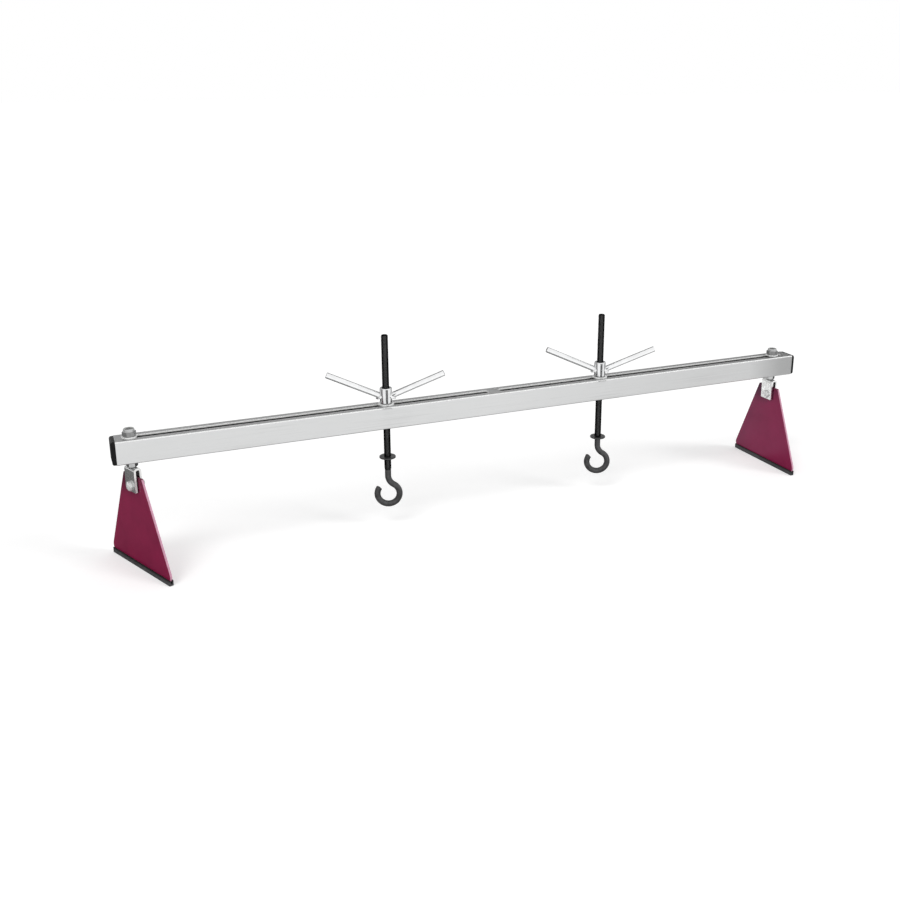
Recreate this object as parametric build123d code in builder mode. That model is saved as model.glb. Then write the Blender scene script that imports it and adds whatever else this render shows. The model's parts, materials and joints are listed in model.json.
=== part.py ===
"""Engine support bar: a slotted square beam on two rocking feet, with two sliding lifting hooks.

Millimetres, +Z up. The beam runs along X, and the origin is on the floor below the middle of the beam.
"""

from build123d import *
import os
from math import atan2, cos, radians, sin, tan

# Beam
tube_length = 1500.0
tube_side = 45.0
tube_wall = 3.0
tube_corner_radius = 2.5
tube_bore_corner_radius = 0.5
slot_clearance = 0.5  # on each side of a foot stud
slot_end_margin = 19.0  # from the tube's end to the slot's end
slot_bridge = 24.0  # solid length between the two slots

# End caps
cap_flange = 8.0
cap_corner_radius = 5.0
cap_edge_radius = 4.0
cap_plug_wall = 2.0
cap_plug_clearance = 0.2
cap_plug_to_slot = 3.0  # the plug stops this far short of the slot

# Foot plates and their rubber soles
plate_thickness = 4.0
plate_height = 184.0
plate_foot_width = 223.0
plate_top_width = 65.0
plate_foot_radius = 13.0
plate_top_radius = 4.0
pin_below_plate_top = 19.0
sole_floor = 3.5  # rubber under the plate
sole_lip = 2.5  # rubber on each face of the plate
sole_lip_height = 6.5
sole_end_radius = 2.0

# Forks, which straddle the plates
fork_strip = 4.0
fork_width = 35.0
fork_side_clearance = 1.5  # between each arm and the plate
fork_bend_radius = 3.0  # inside the bends
fork_corner_radius = 1.5
fork_above_pin = 37.0
fork_below_pin = 10.5

# Studs that hang the forks in the slots
stud_diameter = 14.0
stud_saddle = 3.0  # how far the stud's welded end reaches down over the fork's bends
stud_end_gap = 1.0  # between an outermost stud and the slot's end
stud_below_nut_top = 0.5
stud_chamfer = 1.2
foot_washer_diameter = 28.0
foot_washer_thickness = 2.5
foot_washer_clearance = 0.5
foot_nut_flats = 22.0
lower_nut_flats = 18.0
lower_nut_height = 9.0

# Self-locking nuts, with a nylon ring in a collar
nut_thread_clearance = 0.05
nut_collar_step = 1.0  # the collar is this much smaller than the flats, on each side
nut_collar_edge_radius = 1.5
nut_insert_wall = 2.0
nut_lip = 1.0  # metal rolled over the nylon ring
lock_nut_height = 14.0
lock_nut_collar = 4.5
pin_nut_flats = 17.0
pin_nut_height = 10.0
pin_nut_collar = 3.5

# Hex bolts that the plates rock on
pin_diameter = 10.0
pin_clearance = 0.05
pin_head_flats = 16.0
pin_head_height = 6.4
pin_tail = 2.0  # thread showing past the nut
pin_chamfer = 0.8

# Wing nuts
thrust_washer_diameter = 32.0
thrust_washer_thickness = 3.0
thrust_washer_clearance = 0.7
hub_diameter = 24.0
hub_height = 32.0
hub_edge_radius = 2.0
handle_diameter = 12.0
handle_reach = 126.0  # from the hub's axis to the tip, along the handle
handle_tilt = 23.0
handle_above_hub_foot = 10.5  # where the handles' axes meet the hub's axis
handle_chamfer = 1.0

# Spindle hooks
spindle_diameter = 14.0  # over the thread
hook_bar = 12.5
spindle_above_hook = 333.4  # from the hook's centre to the spindle's top
thread_above_hook = 52.5  # from the hook's centre to the thread's lower end
spindle_chamfer = 1.5
spindle_thread_clearance = 0.1
hook_radius = 22.5  # to the middle of the bar
hook_join_angle = 60.0  # where the shank runs into the hook's circle
hook_tip_angle = 141.0
hook_tip_radius = 5.0
stop_disc_diameter = 33.0
stop_disc_thickness = 3.0

# How the bar stands: feet slid inwards from the slot's ends, hooks out from the beam's middle
left_foot_inset = 0.0
right_foot_inset = 14.0
left_foot_turn = 23.0
right_foot_turn = 0.8
left_lock_nut_turn = -16.7  # against the foot below it
right_lock_nut_turn = 20.0
left_hook_out = 234.0
right_hook_out = 251.0
left_hook_drop = 146.0  # from the beam's underside to the hook's centre
right_hook_drop = 149.0
left_disc_drop = 66.0
right_disc_drop = 91.0
left_hook_turn = -18.0
right_hook_turn = -22.0
left_nut_turn = -19.1
right_nut_turn = -21.7

# Soles, which end level with the plates' rounded corners
plate_corner = atan2(plate_height, (plate_foot_width - plate_top_width) / 2)
sole_length = plate_foot_width - 2 * plate_foot_radius * (1 / tan(plate_corner / 2) - 1)

# Heights, from the floor up
plate_foot_z = sole_floor
plate_top_z = plate_foot_z + plate_height
pin_z = plate_top_z - pin_below_plate_top
fork_foot_z = pin_z - fork_below_pin
fork_top_z = pin_z + fork_above_pin
lower_washer_z = fork_top_z + lower_nut_height
beam_foot_z = lower_washer_z + foot_washer_thickness
beam_top_z = beam_foot_z + tube_side
beam_axis_z = beam_foot_z + tube_side / 2
lock_nut_z = beam_top_z + foot_washer_thickness
hub_foot_z = beam_top_z + thrust_washer_thickness
handle_z = hub_foot_z + handle_above_hub_foot

# Fits and lengths that follow from the sizes above
slot_width = stud_diameter + 2 * slot_clearance
slot_length = tube_length / 2 - slot_end_margin - slot_bridge / 2
slot_middle_x = slot_bridge / 2 + slot_length / 2
outermost_stud_x = tube_length / 2 - slot_end_margin - stud_end_gap - stud_diameter / 2
fork_gap = plate_thickness + 2 * fork_side_clearance
fork_depth = fork_gap + 2 * fork_strip
pin_length = fork_depth + pin_nut_height + pin_tail
hook_shank_radius = hook_radius * cos(radians(hook_join_angle)) / (1 - cos(radians(hook_join_angle)))
hook_shank_z = (hook_radius + hook_shank_radius) * sin(radians(hook_join_angle))


def level_plane(x, turn):
    """A floor plane at x on the beam's middle line, turned about the vertical."""
    return Plane(origin=(x, 0, 0), x_dir=(cos(radians(turn)), sin(radians(turn)), 0), z_dir=(0, 0, 1))


def facing_plane(level):
    """An upright plane that looks along a level plane's x: its x is the level's y, and its y is up."""
    return Plane(origin=level.origin, x_dir=level.y_dir, z_dir=level.x_dir)


def profile_plane(level):
    """An upright plane that holds a level plane's x: its x is the level's x, and its y is up."""
    return Plane(origin=level.origin, x_dir=level.x_dir, z_dir=-level.y_dir)


def write_piece(builder, name):
    builder.part.label = name
    export_step(builder.part, f"parts/{name}.step")


def make_beam_tube():
    section = Plane(origin=(0, 0, beam_axis_z), x_dir=(0, 1, 0), z_dir=(1, 0, 0))
    bore_side = tube_side - 2 * tube_wall
    with BuildPart() as tube:
        with BuildSketch(section):
            RectangleRounded(tube_side, tube_side, tube_corner_radius)
            RectangleRounded(bore_side, bore_side, tube_bore_corner_radius, mode=Mode.SUBTRACT)
        extrude(amount=tube_length / 2, both=True)
        with BuildSketch(Plane.XY.offset(beam_foot_z)):
            with Locations((-slot_middle_x, 0), (slot_middle_x, 0)):
                SlotOverall(slot_length, slot_width)
        extrude(amount=tube_side, mode=Mode.SUBTRACT)
    write_piece(tube, "beam_tube")


def make_end_cap(side, sign):
    end = Plane(origin=(sign * tube_length / 2, 0, beam_axis_z), x_dir=(0, sign, 0), z_dir=(sign, 0, 0))
    plug_side = tube_side - 2 * tube_wall - 2 * cap_plug_clearance
    plug_depth = slot_end_margin - cap_plug_to_slot
    hollow_side = plug_side - 2 * cap_plug_wall
    with BuildPart() as cap:
        with BuildSketch(end):
            RectangleRounded(tube_side, tube_side, cap_corner_radius)
        extrude(amount=cap_flange)
        outer_face = cap.faces().sort_by(Axis(end.origin, end.z_dir))[-1]
        fillet(outer_face.edges(), min(cap_edge_radius, 0.8 * cap_flange, 0.9 * cap_corner_radius))
        with BuildSketch(end):
            RectangleRounded(plug_side, plug_side, tube_bore_corner_radius)
            Rectangle(hollow_side, hollow_side, mode=Mode.SUBTRACT)
        extrude(amount=-plug_depth)
    write_piece(cap, f"end_cap_{side}")


def make_ring(name, seat, outer_radius, inner_radius, thickness):
    with BuildPart() as ring:
        with BuildSketch(seat):
            Circle(outer_radius)
            Circle(inner_radius, mode=Mode.SUBTRACT)
        extrude(amount=thickness)
    write_piece(ring, name)


def make_lock_nut(nut_name, insert_name, seat, thread, flats, height, collar):
    """A hex nut that stands up from its seat, and the nylon ring inside its collar."""
    bore_radius = thread / 2 + nut_thread_clearance
    insert_radius = bore_radius + nut_insert_wall
    insert_seat = seat.offset(height - collar)
    with BuildPart() as nut:
        with BuildSketch(seat):
            RegularPolygon(flats / 2, 6, major_radius=False)
        extrude(amount=height - collar)
        with BuildSketch(insert_seat):
            Circle(flats / 2 - nut_collar_step)
        extrude(amount=collar)
        top_face = nut.faces().sort_by(Axis(seat.origin, seat.z_dir))[-1]
        fillet(top_face.edges(), min(nut_collar_edge_radius, 0.8 * collar))
        with BuildSketch(seat):
            Circle(bore_radius)
        extrude(amount=height, mode=Mode.SUBTRACT)
        with BuildSketch(insert_seat):
            Circle(insert_radius)
        extrude(amount=collar - nut_lip, mode=Mode.SUBTRACT)
    write_piece(nut, nut_name)
    make_ring(insert_name, insert_seat, insert_radius, bore_radius, collar - nut_lip)


def make_lower_nut(side, level):
    """A narrow plain nut between the fork and the washer that the beam rests on, with two flats along the arms."""
    with BuildPart() as nut:
        with BuildSketch(level.offset(fork_top_z)):
            RegularPolygon(lower_nut_flats / 2, 6, major_radius=False, rotation=30)
            Circle(stud_diameter / 2 + nut_thread_clearance, mode=Mode.SUBTRACT)
        extrude(amount=lower_nut_height)
    write_piece(nut, f"{side}_foot_lower_nut")


def make_foot_plate(side, level):
    half_foot = plate_foot_width / 2
    half_top = plate_top_width / 2
    with BuildPart() as plate:
        with BuildSketch(facing_plane(level)) as outline:
            with BuildLine():
                Polyline(
                    (-half_foot, plate_foot_z),
                    (half_foot, plate_foot_z),
                    (half_top, plate_top_z),
                    (-half_top, plate_top_z),
                    close=True,
                )
            make_face()
            fillet(outline.vertices().group_by(Axis.Y)[0], plate_foot_radius)
            fillet(outline.vertices().group_by(Axis.Y)[-1], plate_top_radius)
            with Locations((0, pin_z)):
                Circle(pin_diameter / 2 + pin_clearance, mode=Mode.SUBTRACT)
        extrude(amount=plate_thickness / 2, both=True)
    write_piece(plate, f"{side}_foot_plate")


def make_rubber_sole(side, level):
    half_width = plate_thickness / 2 + sole_lip
    half_slot = plate_thickness / 2
    sole_top = plate_foot_z + sole_lip_height
    with BuildPart() as sole:
        with BuildSketch(profile_plane(level)):
            with BuildLine():
                Polyline(
                    (-half_width, 0),
                    (half_width, 0),
                    (half_width, sole_top),
                    (half_slot, sole_top),
                    (half_slot, plate_foot_z),
                    (-half_slot, plate_foot_z),
                    (-half_slot, sole_top),
                    (-half_width, sole_top),
                    close=True,
                )
            make_face()
        extrude(amount=sole_length / 2, both=True)
        uprights = sole.edges().filter_by(Axis.Z)
        outer_uprights = uprights.group_by(Edge.length.fget)[-1]
        fillet(outer_uprights, min(sole_end_radius, 0.8 * sole_lip))
    write_piece(sole, f"{side}_rubber_sole")


def make_fork_and_stud(side, level):
    arm_middle = (fork_gap + fork_strip) / 2
    web_middle = fork_top_z - fork_strip / 2
    with BuildPart() as fork:
        with BuildSketch(profile_plane(level)):
            with BuildLine():
                FilletPolyline(
                    (-arm_middle, fork_foot_z),
                    (-arm_middle, web_middle),
                    (arm_middle, web_middle),
                    (arm_middle, fork_foot_z),
                    radius=fork_bend_radius + fork_strip / 2,
                )
            trace(line_width=fork_strip)
        extrude(amount=fork_width / 2, both=True)
        across = fork.edges().filter_by(Axis(level.origin, level.x_dir))
        fillet(across.group_by(Axis.Z)[0], fork_corner_radius)
        with BuildSketch(facing_plane(level)):
            with Locations((0, pin_z)):
                Circle(pin_diameter / 2 + pin_clearance)
        extrude(amount=fork_depth, both=True, mode=Mode.SUBTRACT)
    write_piece(fork, f"{side}_foot_fork")

    stud_foot_z = fork_top_z - stud_saddle
    stud_top_z = lock_nut_z + lock_nut_height - stud_below_nut_top
    with BuildPart() as stud:
        with BuildSketch(level.offset(stud_foot_z)):
            Circle(stud_diameter / 2)
        extrude(amount=stud_top_z - stud_foot_z)
        chamfer(stud.edges().sort_by(Axis.Z)[-1], stud_chamfer)
        add(fork.part, mode=Mode.SUBTRACT)
    write_piece(stud, f"{side}_foot_stud")


def make_pin_bolt(side, level):
    """A hex bolt with its head on the fork's left arm, and its nut on the right arm."""
    axis_point = level.origin + Vector(0, 0, pin_z)
    arm_offset = level.x_dir * (fork_depth / 2)
    head_seat = Plane(origin=axis_point - arm_offset, x_dir=level.y_dir, z_dir=-level.x_dir)
    nut_seat = Plane(origin=axis_point + arm_offset, x_dir=level.y_dir, z_dir=level.x_dir)
    with BuildPart() as bolt:
        with BuildSketch(head_seat):
            RegularPolygon(pin_head_flats / 2, 6, major_radius=False)
        extrude(amount=pin_head_height)
        with BuildSketch(head_seat):
            Circle(pin_diameter / 2)
        extrude(amount=-pin_length)
        tail_face = bolt.faces().sort_by(Axis(head_seat.origin, head_seat.z_dir))[0]
        chamfer(tail_face.edges(), pin_chamfer)
    write_piece(bolt, f"{side}_pin_bolt")
    make_lock_nut(
        f"{side}_pin_nut",
        f"{side}_pin_nut_insert",
        nut_seat,
        pin_diameter,
        pin_nut_flats,
        pin_nut_height,
        pin_nut_collar,
    )


def make_foot(side, sign, inset, turn, lock_nut_turn):
    x = sign * (outermost_stud_x - inset)
    level = level_plane(x, turn)
    make_rubber_sole(side, level)
    make_foot_plate(side, level)
    make_fork_and_stud(side, level)
    make_pin_bolt(side, level)
    for place, washer_z in (("lower", lower_washer_z), ("top", beam_top_z)):
        make_ring(
            f"{side}_foot_{place}_washer",
            level.offset(washer_z),
            foot_washer_diameter / 2,
            stud_diameter / 2 + foot_washer_clearance,
            foot_washer_thickness,
        )
    make_lower_nut(side, level)
    make_lock_nut(
        f"{side}_foot_lock_nut",
        f"{side}_foot_nut_insert",
        level_plane(x, turn + lock_nut_turn).offset(lock_nut_z),
        stud_diameter,
        foot_nut_flats,
        lock_nut_height,
        lock_nut_collar,
    )


def make_handle(name, x, turn):
    """A round bar welded to the hub, rising outwards. Its inner end is cut to the hub's round."""
    level_run = cos(radians(handle_tilt))
    outwards = Vector(
        level_run * cos(radians(turn)),
        level_run * sin(radians(turn)),
        sin(radians(handle_tilt)),
    )
    with BuildPart() as handle:
        with BuildSketch(Plane(origin=(x, 0, handle_z), z_dir=outwards)):
            Circle(handle_diameter / 2)
        extrude(amount=handle_reach)
        tip_face = handle.faces().sort_by(Axis((x, 0, handle_z), outwards))[-1]
        chamfer(tip_face.edges(), handle_chamfer)
        with BuildSketch(Plane(origin=(x, 0, hub_foot_z), z_dir=(0, 0, 1))):
            Circle(hub_diameter / 2)
        extrude(amount=hub_height, both=True, mode=Mode.SUBTRACT)
    write_piece(handle, name)


def make_wing_nut(side, x, turn):
    seat = Plane(origin=(x, 0, hub_foot_z), z_dir=(0, 0, 1))
    with BuildPart() as hub:
        with BuildSketch(seat):
            Circle(hub_diameter / 2)
        extrude(amount=hub_height)
        fillet(hub.edges().sort_by(Axis.Z)[-1], hub_edge_radius)
        with BuildSketch(seat):
            Circle(spindle_diameter / 2 + spindle_thread_clearance)
        extrude(amount=hub_height, mode=Mode.SUBTRACT)
    write_piece(hub, f"{side}_wing_nut_hub")
    make_handle(f"{side}_wing_nut_handle_front", x, turn)
    make_handle(f"{side}_wing_nut_handle_back", x, turn + 180)


def make_spindle_hook(side, x, turn, drop):
    """A threaded spindle on a thinner bar, which swings aside and runs round into a hook centred below it."""
    level = level_plane(x, turn)
    hook_plane = profile_plane(level).shift_origin((x, 0, beam_foot_z - drop))
    hook_sweep = hook_tip_angle - 360 - hook_join_angle
    with BuildPart() as spindle:
        with BuildLine(hook_plane) as bar_line:
            Line((0, thread_above_hook + hook_bar / 2), (0, hook_shank_z))
            CenterArc((hook_shank_radius, hook_shank_z), hook_shank_radius, 180, hook_join_angle)
            CenterArc((0, 0), hook_radius, hook_join_angle, hook_sweep)
        with BuildSketch(level.offset(beam_foot_z - drop + thread_above_hook + hook_bar / 2)):
            Circle(hook_bar / 2)
        sweep(path=bar_line.wires()[0])
        flat_ends = spindle.faces().filter_by(GeomType.PLANE).sort_by(Axis.Z)
        fillet(flat_ends[0].edges(), min(hook_tip_radius, 0.45 * hook_bar))
        with BuildSketch(level.offset(beam_foot_z - drop + thread_above_hook)):
            Circle(spindle_diameter / 2)
        extrude(amount=spindle_above_hook - thread_above_hook)
        chamfer(spindle.faces().sort_by(Axis.Z)[-1].edges(), spindle_chamfer)
    write_piece(spindle, f"{side}_spindle_hook")


def make_hook_unit(side, sign, out, nut_turn, hook_turn, hook_drop, disc_drop):
    x = sign * out
    level = level_plane(x, 0)
    make_ring(
        f"{side}_thrust_washer",
        level.offset(beam_top_z),
        thrust_washer_diameter / 2,
        spindle_diameter / 2 + thrust_washer_clearance,
        thrust_washer_thickness,
    )
    make_wing_nut(side, x, nut_turn)
    make_spindle_hook(side, x, hook_turn, hook_drop)
    make_ring(
        f"{side}_stop_disc",
        level.offset(beam_foot_z - disc_drop - stop_disc_thickness / 2),
        stop_disc_diameter / 2,
        spindle_diameter / 2 + spindle_thread_clearance,
        stop_disc_thickness,
    )


os.makedirs("parts", exist_ok=True)
make_beam_tube()
make_end_cap("left", -1)
make_end_cap("right", 1)
make_foot("left", -1, left_foot_inset, left_foot_turn, left_lock_nut_turn)
make_foot("right", 1, right_foot_inset, right_foot_turn, right_lock_nut_turn)
make_hook_unit(
    "left", -1, left_hook_out, left_nut_turn, left_hook_turn, left_hook_drop, left_disc_drop
)
make_hook_unit(
    "right", 1, right_hook_out, right_nut_turn, right_hook_turn, right_hook_drop, right_disc_drop
)
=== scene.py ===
"""Looks of an engine support bar: a slotted zinc beam on two painted feet, with two screw hooks."""

import json
import math

import bmesh
import bpy
from bmesh.types import BMEdge, BMFace, BMVert
from mathutils import Matrix, Vector, noise


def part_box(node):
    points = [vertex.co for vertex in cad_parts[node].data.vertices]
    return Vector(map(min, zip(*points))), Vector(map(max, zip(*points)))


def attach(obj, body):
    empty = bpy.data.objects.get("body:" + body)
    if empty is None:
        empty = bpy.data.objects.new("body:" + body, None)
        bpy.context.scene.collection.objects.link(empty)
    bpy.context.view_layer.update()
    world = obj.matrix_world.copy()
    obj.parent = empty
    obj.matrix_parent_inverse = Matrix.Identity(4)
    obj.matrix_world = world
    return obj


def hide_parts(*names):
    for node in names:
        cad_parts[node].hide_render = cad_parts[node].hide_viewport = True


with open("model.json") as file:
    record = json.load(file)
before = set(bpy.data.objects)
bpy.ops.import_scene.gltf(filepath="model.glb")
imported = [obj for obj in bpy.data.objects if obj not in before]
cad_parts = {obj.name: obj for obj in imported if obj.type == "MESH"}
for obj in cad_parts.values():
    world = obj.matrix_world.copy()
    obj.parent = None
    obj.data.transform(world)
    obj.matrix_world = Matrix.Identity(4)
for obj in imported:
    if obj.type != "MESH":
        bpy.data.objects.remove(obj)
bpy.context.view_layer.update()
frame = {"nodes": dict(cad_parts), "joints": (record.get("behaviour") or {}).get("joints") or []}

bl_info = {
    "name": "Engine support bar",
    "version": (1, 0, 0),
    "blender": (4, 5, 0),
    "location": "View3D > Sidebar > Support bar",
    "description": "Models and dresses the pieces of an engine support bar around its packed solids",
    "category": "Object",
}

SIDES = ("left", "right")
FULL_TURN = 2 * math.pi
QUARTER_TURN = math.pi / 2
SIXTH_TURN = math.pi / 3

TOUCHING = 1e-5  # points nearer than this to a plane lie on it
MERGED = 1e-6  # points nearer than this to one another become one
CUT_MARGIN = 1e-7  # points nearer than this to a cutting plane aren't cut off
SHARP = math.radians(60)  # edges that turn by more are rounded
CREASE = math.radians(38)  # edges that turn by more are shaded sharp
NUT_RIM = 0.475  # of a hexagon's flats, where the cone that cuts its corners starts
NUT_RIM_SLOPE = math.tan(math.radians(28))
NUT_LEAD = 0.0006  # chamfer at the ends of a nut's bore
NUT_GROOVE = 0.002  # depth of the groove that a nylon ring lies in
NUT_LIP = 0.001  # rolled lip over a nylon ring
RING_PLAY = 0.0001  # around a nylon ring
PIN_PLAY = 0.00005  # around the pins in plates and forks
SPINDLE_PLAY = 0.0001  # around the spindles in hubs and discs
THREAD_DEPTH = 0.61  # of the pitch
EVEN = (1, 1, 1)  # stretch of a grain that runs alike in all directions


# Properties


def length(name, description, default):
    return bpy.props.FloatProperty(
        name=name, description=description, default=default, min=0.0, precision=5, unit="LENGTH"
    )


def angle(name, description, degrees):
    return bpy.props.FloatProperty(
        name=name, description=description, default=math.radians(degrees), unit="ROTATION"
    )


def colour(name, description, default):
    return bpy.props.FloatVectorProperty(
        name=name, description=description, default=default, size=3, min=0.0, max=1.0, subtype="COLOR"
    )


class SupportBarSizes(bpy.types.PropertyGroup):
    """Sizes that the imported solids' boxes don't give."""

    edge_radius: length("Edge radius", "Rounding of cut and stamped steel edges", 0.0004)
    tube_wall: length("Tube wall", "Wall of the square tube", 0.003)
    tube_corner_radius: length("Tube corner", "Outer corner radius of the square tube", 0.0025)
    tube_bore_radius: length("Tube bore corner", "Inner corner radius of the square tube", 0.0005)
    slot_width: length("Slot width", "Width of the beam's slots", 0.015)
    slot_rim: length("Slot rim", "Rounding of the slots' outer rims", 0.0009)
    slot_end_margin: length("Slot end margin", "From the tube's end to the slot's end", 0.019)
    slot_bridge: length("Slot bridge", "Solid length between the two slots", 0.024)
    cap_corner_radius: length("Cap corner", "Corner radius of an end cap's flange", 0.005)
    cap_edge_radius: length("Cap edge", "Rounding of an end cap's outer rim", 0.004)
    cap_plug_gap: length("Cap plug gap", "Between an end cap's plug and the tube's bore", 0.0002)
    cap_plug_wall: length("Cap plug wall", "Wall of an end cap's plug", 0.002)
    plate_thickness: length("Plate thickness", "Thickness of a foot plate", 0.004)
    plate_foot_width: length("Plate foot", "Width of a foot plate at its foot", 0.223)
    plate_top_width: length("Plate top", "Width of a foot plate at its top", 0.065)
    plate_foot_radius: length("Plate foot corner", "Radius of a foot plate's lower corners", 0.013)
    plate_top_radius: length("Plate top corner", "Radius of a foot plate's upper corners", 0.004)
    sole_lip: length("Sole lip", "Rubber on each face of the plate", 0.0025)
    sole_end_radius: length("Sole end", "Rounding of the sole's upright end corners", 0.002)
    fork_strip: length("Fork strip", "Thickness of the fork's strip", 0.004)
    fork_width: length("Fork width", "Width of the fork's strip", 0.035)
    fork_gap: length("Fork gap", "Between the fork's arms", 0.007)
    fork_bend_radius: length("Fork bend", "Inner radius of the fork's bends", 0.003)
    fork_corner_radius: length("Fork corner", "Radius of the corners at the arms' ends", 0.0015)
    fork_edge_radius: length("Fork edge", "Rounding of the rolled strip's edges", 0.0007)
    pin_diameter: length("Pin diameter", "Thread of the pin bolts", 0.010)
    pin_pitch: length("Pin pitch", "Thread pitch of the pin bolts", 0.0015)
    pin_head_flats: length("Pin head", "Across flats of the pin bolts' heads", 0.016)
    pin_head_height: length("Pin head height", "Height of the pin bolts' heads", 0.0064)
    pin_nut_flats: length("Pin nut", "Across flats of the pin nuts", 0.017)
    pin_nut_collar: length("Pin nut collar", "Height of the pin nuts' collars", 0.0035)
    stud_diameter: length("Stud diameter", "Thread of the foot studs", 0.014)
    stud_pitch: length("Stud pitch", "Thread pitch of the foot studs", 0.002)
    foot_nut_flats: length("Foot nut", "Across flats of the nuts on the foot studs", 0.022)
    lower_nut_flats: length("Lower nut", "Across flats of the nuts under the beam", 0.018)
    lock_nut_collar: length("Lock nut collar", "Height of the lock nuts' collars", 0.0045)
    washer_gap: length("Washer gap", "Between a washer's bore and its stud or spindle", 0.0006)
    washer_clear: length("Washer clearance", "Gap left over and under each washer", 0.00002)
    spindle_diameter: length("Spindle diameter", "Thread of the hook spindles", 0.014)
    spindle_pitch: length("Spindle pitch", "Thread pitch of the hook spindles", 0.002)
    thread_above_hook: length("Thread foot", "From a hook's centre to the lower end of its thread", 0.0525)
    spindle_chamfer: length("Spindle chamfer", "Lead-in at a spindle's top", 0.0015)
    hook_bar: length("Hook bar", "Thickness of a hook's bar", 0.0125)
    hook_radius: length("Hook radius", "To the middle of a hook's bar", 0.0225)
    hook_tip_radius: length("Hook tip", "Rounding of a hook's tip", 0.005)
    hub_edge_radius: length("Hub edge", "Rounding of a wing nut hub's top", 0.002)
    handle_diameter: length("Handle diameter", "Bar of the wing nuts' handles", 0.012)
    weld_leg: length("Weld leg", "Reach of the weld around a handle's foot", 0.0034)
    hook_join_angle: angle("Hook join", "Where a shank runs into its hook's circle", 60)
    hook_tip_angle: angle("Hook tip angle", "Where a hook's circle ends", 141)
    handle_tilt: angle("Handle tilt", "Rise of the wing nuts' handles", 23)
    left_hook_turn: angle("Left hook turn", "Turn of the left hook about its spindle", -18)
    right_hook_turn: angle("Right hook turn", "Turn of the right hook about its spindle", -22)
    left_lock_nut_turn: angle("Left lock nut turn", "Turn of the lock nut against the left foot", -16.7)
    right_lock_nut_turn: angle("Right lock nut turn", "Turn of the lock nut against the right foot", 20)


class SupportBarColours(bpy.types.PropertyGroup):
    """Base colours of the finishes, as linear values."""

    tube_zinc: colour("Tube zinc", "Satin zinc plate of the beam", (0.66, 0.665, 0.665))
    bright_zinc: colour("Bright zinc", "Bright zinc plate of the handles", (0.93, 0.935, 0.94))
    hub_zinc: colour("Hub zinc", "Bright zinc plate of the wing nuts' hubs", (0.80, 0.805, 0.81))
    # Painted highlight: a pale zinc laid along the beam's edges.
    edge_zinc: colour("Edge zinc", "Rubbed zinc along the beam's edges", (0.90, 0.905, 0.905))
    fork_zinc: colour("Fork zinc", "Zinc plate of the forks", (0.90, 0.905, 0.90))
    fitting_zinc: colour("Fitting zinc", "Zinc plate of the plain nuts and studs", (0.50, 0.505, 0.505))
    nut_zinc: colour("Nut zinc", "Duller zinc plate of the self-locking nuts", (0.27, 0.272, 0.272))
    collar_zinc: colour("Collar zinc", "Zinc plate of the self-locking nuts' collars", (0.50, 0.505, 0.505))
    washer_zinc: colour("Washer zinc", "Brighter zinc plate of the washers and pin bolts", (0.88, 0.885, 0.88))
    # On the left fork's edges this pale finish is a painted highlight.
    cut_zinc: colour("Cut zinc", "Pale cut walls of the slots and the left fork", (0.95, 0.95, 0.94))
    black_oxide: colour("Black oxide", "Blackened thread of the spindles", (0.0035, 0.0035, 0.004))
    # The hooks' steel is also painted into the beam's bore and round the hubs' feet as shade.
    hook_steel: colour("Hook steel", "Dark forged bar of the hooks", (0.085, 0.085, 0.087))
    disc_steel: colour("Disc steel", "Dark turned steel of the stop discs", (0.07, 0.07, 0.072))
    foot_paint: colour("Foot paint", "Enamel of the foot plates", (0.24, 0.002, 0.047))
    # Partly thin enamel, partly a painted highlight on the plates' sloping edges.
    thin_paint: colour("Thin paint", "Enamel drawn thin over the plates' sloping edges", (0.60, 0.30, 0.41))
    sole_rubber: colour("Sole rubber", "Rubber under the foot plates", (0.022, 0.022, 0.023))
    cap_plastic: colour("Cap plastic", "Moulded end caps", (0.009, 0.009, 0.0095))
    nylon: colour("Nylon", "Locking rings in the nuts", (0.72, 0.74, 0.70))
    floor: colour("Floor", "Pale floor of the stage", (0.80, 0.80, 0.80))


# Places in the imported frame


def middle(node):
    low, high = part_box(node)
    return (low + high) / 2


def height(node):
    low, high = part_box(node)
    return high.z - low.z


def span_along(node, way):
    """Least and greatest reach of a node's mesh in a direction, from the frame's origin."""
    runs = [vert.co.dot(way) for vert in frame["nodes"][node].data.vertices]
    return min(runs), max(runs)


def foot_place(side):
    """A foot's stud axis on the floor, turned so that X goes through its plate."""
    axis = next(j["axis"] for j in frame["joints"] if j["name"] == f"{side}_foot_rock")
    stud = middle(f"{side}_foot_top_washer")
    return Matrix.Translation((stud.x, stud.y, 0)) @ Matrix.Rotation(math.atan2(axis[1], axis[0]), 4, "Z")


def pin_place(side):
    """A foot's pin, with Z along it from the bolt's head to its nut."""
    return (
        foot_place(side)
        @ Matrix.Translation((0, 0, middle(f"{side}_pin_bolt").z))
        @ Matrix.Rotation(QUARTER_TURN, 4, "Y")
        @ Matrix.Rotation(SIXTH_TURN / 2, 4, "Z")
    )


def upright_place(node, turn=0.0):
    """The axis of an upright round node, with the node's foot at height zero."""
    axis = middle(node)
    return Matrix.Translation((axis.x, axis.y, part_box(node)[0].z)) @ Matrix.Rotation(turn, 4, "Z")


# Modelling


def of_kind(geom, kind):
    return [g for g in geom if isinstance(g, kind)]


def everything(bm):
    return [*bm.verts, *bm.edges, *bm.faces]


def edges_of(verts):
    """Edges that run between vertices of a group."""
    chosen = set(verts)
    return list(dict.fromkeys(e for v in verts for e in v.link_edges if e.other_vert(v) in chosen))


def open_edges(bm, z=None):
    """Edges with one face, or those of them that lie at a height."""
    return [
        e
        for e in bm.edges
        if e.is_boundary and (z is None or all(abs(v.co.z - z) < TOUCHING for v in e.verts))
    ]


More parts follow.
